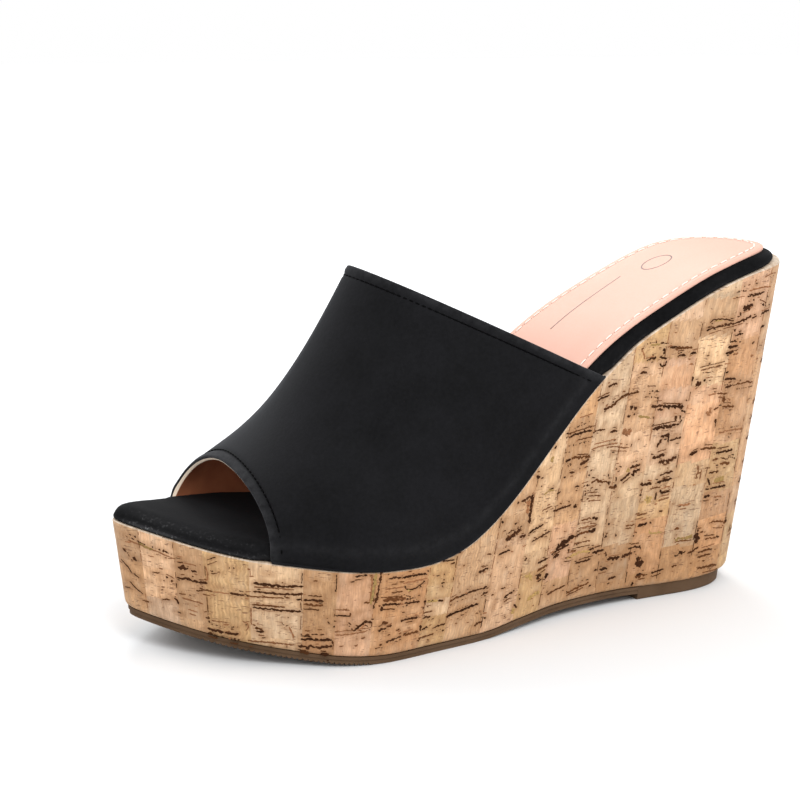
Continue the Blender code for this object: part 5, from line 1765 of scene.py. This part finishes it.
def half_girth(along, side, fullness, steps, wall_steps):
    points = []
    for i in range(wall_steps):
        height = mix(FIT_GAP * 2, SIDE_WALL_HEIGHT, i / wall_steps)
        points.append(wall_foot(along, side, height))
    shoulder = wall_foot(along, side, SIDE_WALL_HEIGHT)
    crown = crown_point(along)
    back = 0.0016 * (1 - along) ** 3
    for point in points:
        point.x -= back
    shoulder.x -= back
    for i in range(steps + 1):
        angle = math.pi / 2 * (1 - i / steps)
        out = math.sin(angle) ** (2 / fullness)
        up = math.cos(angle) ** (2 / fullness) if i else 0.0
        point = shoulder.lerp(crown, up)
        point.y = mix(crown.y, shoulder.y, out)
        points.append(point)
    return points


def lasted_edge(along, side, steps):
    station = girth_curves["lateral" if side > 0 else "medial"](along)
    station -= 0.0016 * (1 - along) ** 3 / WEDGE_LENGTH
    pairs = [((LASTING_MARGIN, SKIVED_LOW), (LASTING_MARGIN, SKIVED_HIGH))]
    centre_in, centre_up = LASTED_CORNER - UPPER_OVERHANG, LASTED_CORNER + SKIVED_LOW
    for i in range(steps + 1):
        angle = math.pi / 2 * i / steps
        inset = centre_in - LASTED_CORNER * math.sin(angle)
        height = centre_up - LASTED_CORNER * math.cos(angle)
        inner = FIT_GAP * (1 - math.sin(angle)), SKIVED_HIGH + 0.8 * FIT_GAP * (1 - math.cos(angle))
        pairs.append(((inset, height), (UPPER_INSIDE + inner[0], inner[1])))
    place = [[on_top(top_edge(station, side, i), h) for i, h in pair] for pair in pairs]
    return [pair[0] for pair in place], [pair[1] for pair in place]


STITCH_FROM_EDGE = 0.0030
# The rims, from the outside across the wall to the lining: share of the way, and bulge
RIM_PROFILE = [(0.10, 0.55), (0.28, 0.90), (0.46, 1.0), (0.62, 0.96), (0.64, 0.80), (0.82, 0.82), (0.96, 0.5)]
RIM_BULGE = 0.00045
OUTSIDE_SLOT, EDGE_SLOT, LINING_SLOT = range(3)


def build_upper():
    rows, arch_steps, wall_steps, corner_steps = 84, 60, 6, 4
    # Rows closer together at the two openings
    alongs = [0.5 * (1 - math.cos(math.pi * (0.06 + 0.88 * i / rows))) for i in range(rows + 1)]
    alongs = [(a - alongs[0]) / (alongs[-1] - alongs[0]) for a in alongs]
    arches = []
    for along in alongs:
        medial = half_girth(along, -1, MEDIAL_FULLNESS, arch_steps, wall_steps)
        lateral = half_girth(along, 1, LATERAL_FULLNESS, arch_steps, wall_steps)
        arches.append(lateral + medial[-2::-1])
    points = np.array([[list(p) for p in row] for row in arches])
    # The crown's two halves meet with one curvature
    across = np.gradient(points, axis=1)
    forward = np.gradient(points, axis=0)
    normals = np.cross(across, forward)
    normals /= np.linalg.norm(normals, axis=2, keepdims=True)
    crown = len(arches[0]) // 2
    for _ in range(2):
        for i in range(len(arches)):
            for j in range(crown - 3, crown + 4):
                normals[i, j] = normals[i, j - 1] + normals[i, j] + normals[i, j + 1]
                normals[i, j] /= np.linalg.norm(normals[i, j])
    throat_gap = np.linalg.norm(points - points[-1], axis=2)
    toe_gap = np.linalg.norm(points - points[0], axis=2)

    def relief(i, j):
        """Outward relief of the outside: undulation, sewn grooves and the footbed's edge below."""
        p = Vector(points[i, j])
        value = 0.00030 * noise.noise(p * 26) + 0.00012 * noise.noise(p * 70)
        for gap in (throat_gap[i, j], toe_gap[i, j]):
            value -= 0.00028 * math.exp(-(((gap - STITCH_FROM_EDGE) / 0.0008) ** 2))
            value += 0.00022 * math.exp(-(((gap - 0.0013) / 0.0011) ** 2))
        from_foot = min(j, len(arches[0]) - 1 - j)
        foot = points[i, 0] if j <= crown else points[i, -1]
        up = np.linalg.norm(points[i, j] - foot)
        value += 0.00035 * math.exp(-(((up - 0.0062) / 0.0022) ** 2))
        return value * min(1.0, from_foot / 3)

    outside, inside = [], []
    for i, along in enumerate(alongs):
        arch = [Vector(points[i, j]) for j in range(points.shape[1])]
        outer_line = [p - Vector(normals[i, j]) * relief(i, j) for j, p in enumerate(arch)]
        lined = [p + Vector(normals[i, j]) * UPPER_WALL for j, p in enumerate(arch)]
        lateral, medial = lasted_edge(along, 1, corner_steps), lasted_edge(along, -1, corner_steps)
        outside.append(lateral[0] + outer_line + medial[0][::-1])
        inside.append(lateral[1] + lined + medial[1][::-1])
    # Rounded rims: the outside rolls over the edge, then the lining's cut edge shows
    total = len(outside[0])

    def rim(outer_row, inner_row, next_row):
        rings = []
        for t, bulge in RIM_PROFILE:
            ring = []
            for j in range(total):
                out = (outer_row[j] - next_row[j]).normalized()
                ring.append(outer_row[j].lerp(inner_row[j], t) + out * (RIM_BULGE * bulge))
            rings.append(ring)
        return rings

    toe_rim = rim(outside[0], inside[0], outside[1])
    throat_rim = rim(outside[-1], inside[-1], outside[-2])
    loop = outside + throat_rim + inside[::-1] + toe_rim[::-1]
    count = len(loop)
    verts = [p for row in loop for p in row]
    faces, slots = [], []
    n_out, n_rim = len(outside), len(throat_rim)
    # The rims show the outside up to their fourth row, and the lining's cut edge from there
    turns = (n_out + 3, n_out + n_rim, 2 * n_out + n_rim, 2 * n_out + n_rim + 4)
    turn_slots = (OUTSIDE_SLOT, EDGE_SLOT, LINING_SLOT, EDGE_SLOT, OUTSIDE_SLOT)
    for r in range(count):
        q = (r + 1) % count
        slot = turn_slots[sum(r >= turn for turn in turns)]
        for j in range(total - 1):
            faces.append((r * total + j, r * total + j + 1, q * total + j + 1, q * total + j))
            slots.append(slot)
    # The two long ends, under the footbed
    for j in (0, total - 1):
        for k in range(n_out - 1):
            a, b = k * total + j, (k + 1) * total + j
            c = (n_out + n_rim + n_out - 2 - k) * total + j
            d = (n_out + n_rim + n_out - 1 - k) * total + j
            face = (a, b, c, d) if j == 0 else (d, c, b, a)
            faces.append(face)
            slots.append(OUTSIDE_SLOT)
        throat = [(n_out - 1 + k) * total + j for k in range(n_rim + 2)]
        toe = [(2 * n_out + n_rim - 1 + k) * total + j for k in range(n_rim + 1)] + [j]
        for face in (throat, toe):
            faces.append(tuple(face if j == 0 else face[::-1]))
            slots.append(OUTSIDE_SLOT)
    faces = [f[::-1] for f in faces]
    obj = build_mesh("vamp", verts, faces, [NUBUCK, LINING_EDGE, LINING], slots, 60)
    toe_line, throat_line = points[0], points[-1]
    # Paler patches round both openings' rolled rims, partly wear and partly painted highlight, and a painted
    # highlight along the ridge over the footbed's edge
    wear_and_highlight = []
    for p in verts:
        spot = np.array(p)
        gap = math.sqrt(min(((toe_line - spot) ** 2).sum(1).min(), ((throat_line - spot) ** 2).sum(1).min()))
        low = (p.z - top_height(p.x)) / 0.0060
        wear_and_highlight.append(0.55 * math.exp(-((gap / 0.0020) ** 2)) + 0.22 * math.exp(-(((low - 1.0) / 0.30) ** 2)))
    layer = obj.data.attributes.new("wear_and_highlight", "FLOAT", "POINT")
    layer.data.foreach_set("value", wear_and_highlight)
    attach(obj, "root")
    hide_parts("upper")
    build_vamp_stitching(points, normals, toe_gap, throat_gap)


def build_vamp_stitching(points, normals, toe_gap, throat_gap):
    """Stitch rows a little way in from both openings."""

    def row_line(gap_array, start_row, step):
        line, ups = [], []
        for j in range(2, points.shape[1] - 2):
            i = start_row
            while gap_array[i, j] < STITCH_FROM_EDGE:
                i += step
            a, b = gap_array[i - step, j], gap_array[i, j]
            t = (STITCH_FROM_EDGE - a) / (b - a)
            p = Vector(points[i - step, j] * (1 - t) + points[i, j] * t)
            n = Vector(-(normals[i - step, j] * (1 - t) + normals[i, j] * t)).normalized()
            line.append(p + n * (-0.00020))
            ups.append(n)
        return line, ups

    tubes, holes = [], []
    for gap_array, start, step in ((toe_gap, 0, 1), (throat_gap, len(points) - 1, -1)):
        line, ups = row_line(gap_array, start, step)
        table = np.array([list(p) for p in line])

        def up_at(p, table=table, ups=ups):
            return ups[int(np.argmin(((table - np.array(p)) ** 2).sum(1)))]

        stitches, ends = stitches_along(line, 0.0021, 0.0016, 0.00024, 0.00020, up_at, 0.0)
        tubes += stitches
        holes += ends
    # The vamp's needle holes are near-black capsules: painted shade
    pieces = ("vamp_stitching", tubes, BLACK_THREAD), ("vamp_needle_holes", holes, BLACK_HOLE)
    for name, made, material in pieces:
        threads = join_tubes(name, made, [material])
        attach(threads, "root")


build_cork()
build_footbed()
build_sock()
build_upper()
for node in ("outsole", "heel_lift"):
    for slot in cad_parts[node].material_slots:
        slot.material = RUBBER


# Stage: floor, light, camera

FLOOR_SIZE = 6.0


def build_stage():
    mesh = bpy.data.meshes.new("floor")
    corners = [(x * FLOOR_SIZE, y * FLOOR_SIZE, 0) for x, y in ((-1, -1), (1, -1), (1, 1), (-1, 1))]
    mesh.from_pydata(corners, [], [(0, 1, 2, 3)])
    floor = bpy.data.objects.new("floor", mesh)
    bpy.context.scene.collection.objects.link(floor)
    shader = Shader("floor_paper", (0.765, 0.775, 0.785), 0.9)
    shader.set("Emission Color", (1, 1, 1, 1))
    shader.set("Specular IOR Level", 0.1)
    # The paper stays white out to the horizon, past the reach of the lamps
    reach = shader.node("VectorMath", operation="LENGTH")
    shader.tree.links.new(shader.place(), reach.inputs[0])
    shader.set("Emission Strength", shader.ramp(reach.outputs["Value"], 0.22, 0.70, 0.0, 0.25))
    mesh.materials.append(shader.material)

    world = bpy.data.worlds.new("studio")
    bpy.context.scene.world = world
    world.use_nodes = True
    background = world.node_tree.nodes["Background"]
    background.inputs[0].default_value = (1.0, 1.0, 1.0, 1)
    background.inputs[1].default_value = 1.0

    def area(name, place, target, size, power, colour=(1, 1, 1)):
        light = bpy.data.lights.new(name, "AREA")
        light.shape = "DISK"
        light.size = size
        light.energy = power
        light.color = colour
        obj = bpy.data.objects.new(name, light)
        obj.location = place
        obj.rotation_euler = (Vector(target) - Vector(place)).to_track_quat("-Z", "Y").to_euler()
        bpy.context.scene.collection.objects.link(obj)

    area("key", (0.12, 0.85, 0.85), (0, 0, 0.04), 0.55, 6.6)
    area("side", (-0.9, 0.55, 0.55), (0, 0, 0.05), 0.5, 2.5)
    area("rim", (-0.25, -0.9, 0.75), (0, 0, 0.06), 0.5, 4.5)
    area("crown", (0.60, -0.80, 0.70), (0, 0, 0.06), 0.6, 3.5)


CAMERA_AZIMUTH = math.radians(155.6)
CAMERA_ELEVATION = math.radians(11.66)
CAMERA_DISTANCE = 0.600
CAMERA_TARGET = Vector((0.01542, -0.01185 - MIDDLE_SHIFT, 0.06591))
CAMERA_FOCAL_PIXELS = 1899
PICTURE_PIXELS = 800


def build_camera():
    camera = bpy.data.cameras.new("camera")
    camera.sensor_width = 36
    camera.lens = CAMERA_FOCAL_PIXELS / PICTURE_PIXELS * camera.sensor_width
    camera.clip_start = 0.01
    obj = bpy.data.objects.new("camera", camera)
    a, e = CAMERA_AZIMUTH, CAMERA_ELEVATION
    back = Vector((math.sin(a) * math.cos(e), -math.cos(a) * math.cos(e), math.sin(e)))
    obj.location = CAMERA_TARGET + back * CAMERA_DISTANCE
    obj.rotation_euler = (-back).to_track_quat("-Z", "Y").to_euler()
    bpy.context.scene.collection.objects.link(obj)
    bpy.context.scene.camera = obj


build_stage()
build_camera()
bpy.context.scene.view_settings.view_transform = "Standard"
bpy.context.scene.view_settings.look = "None"
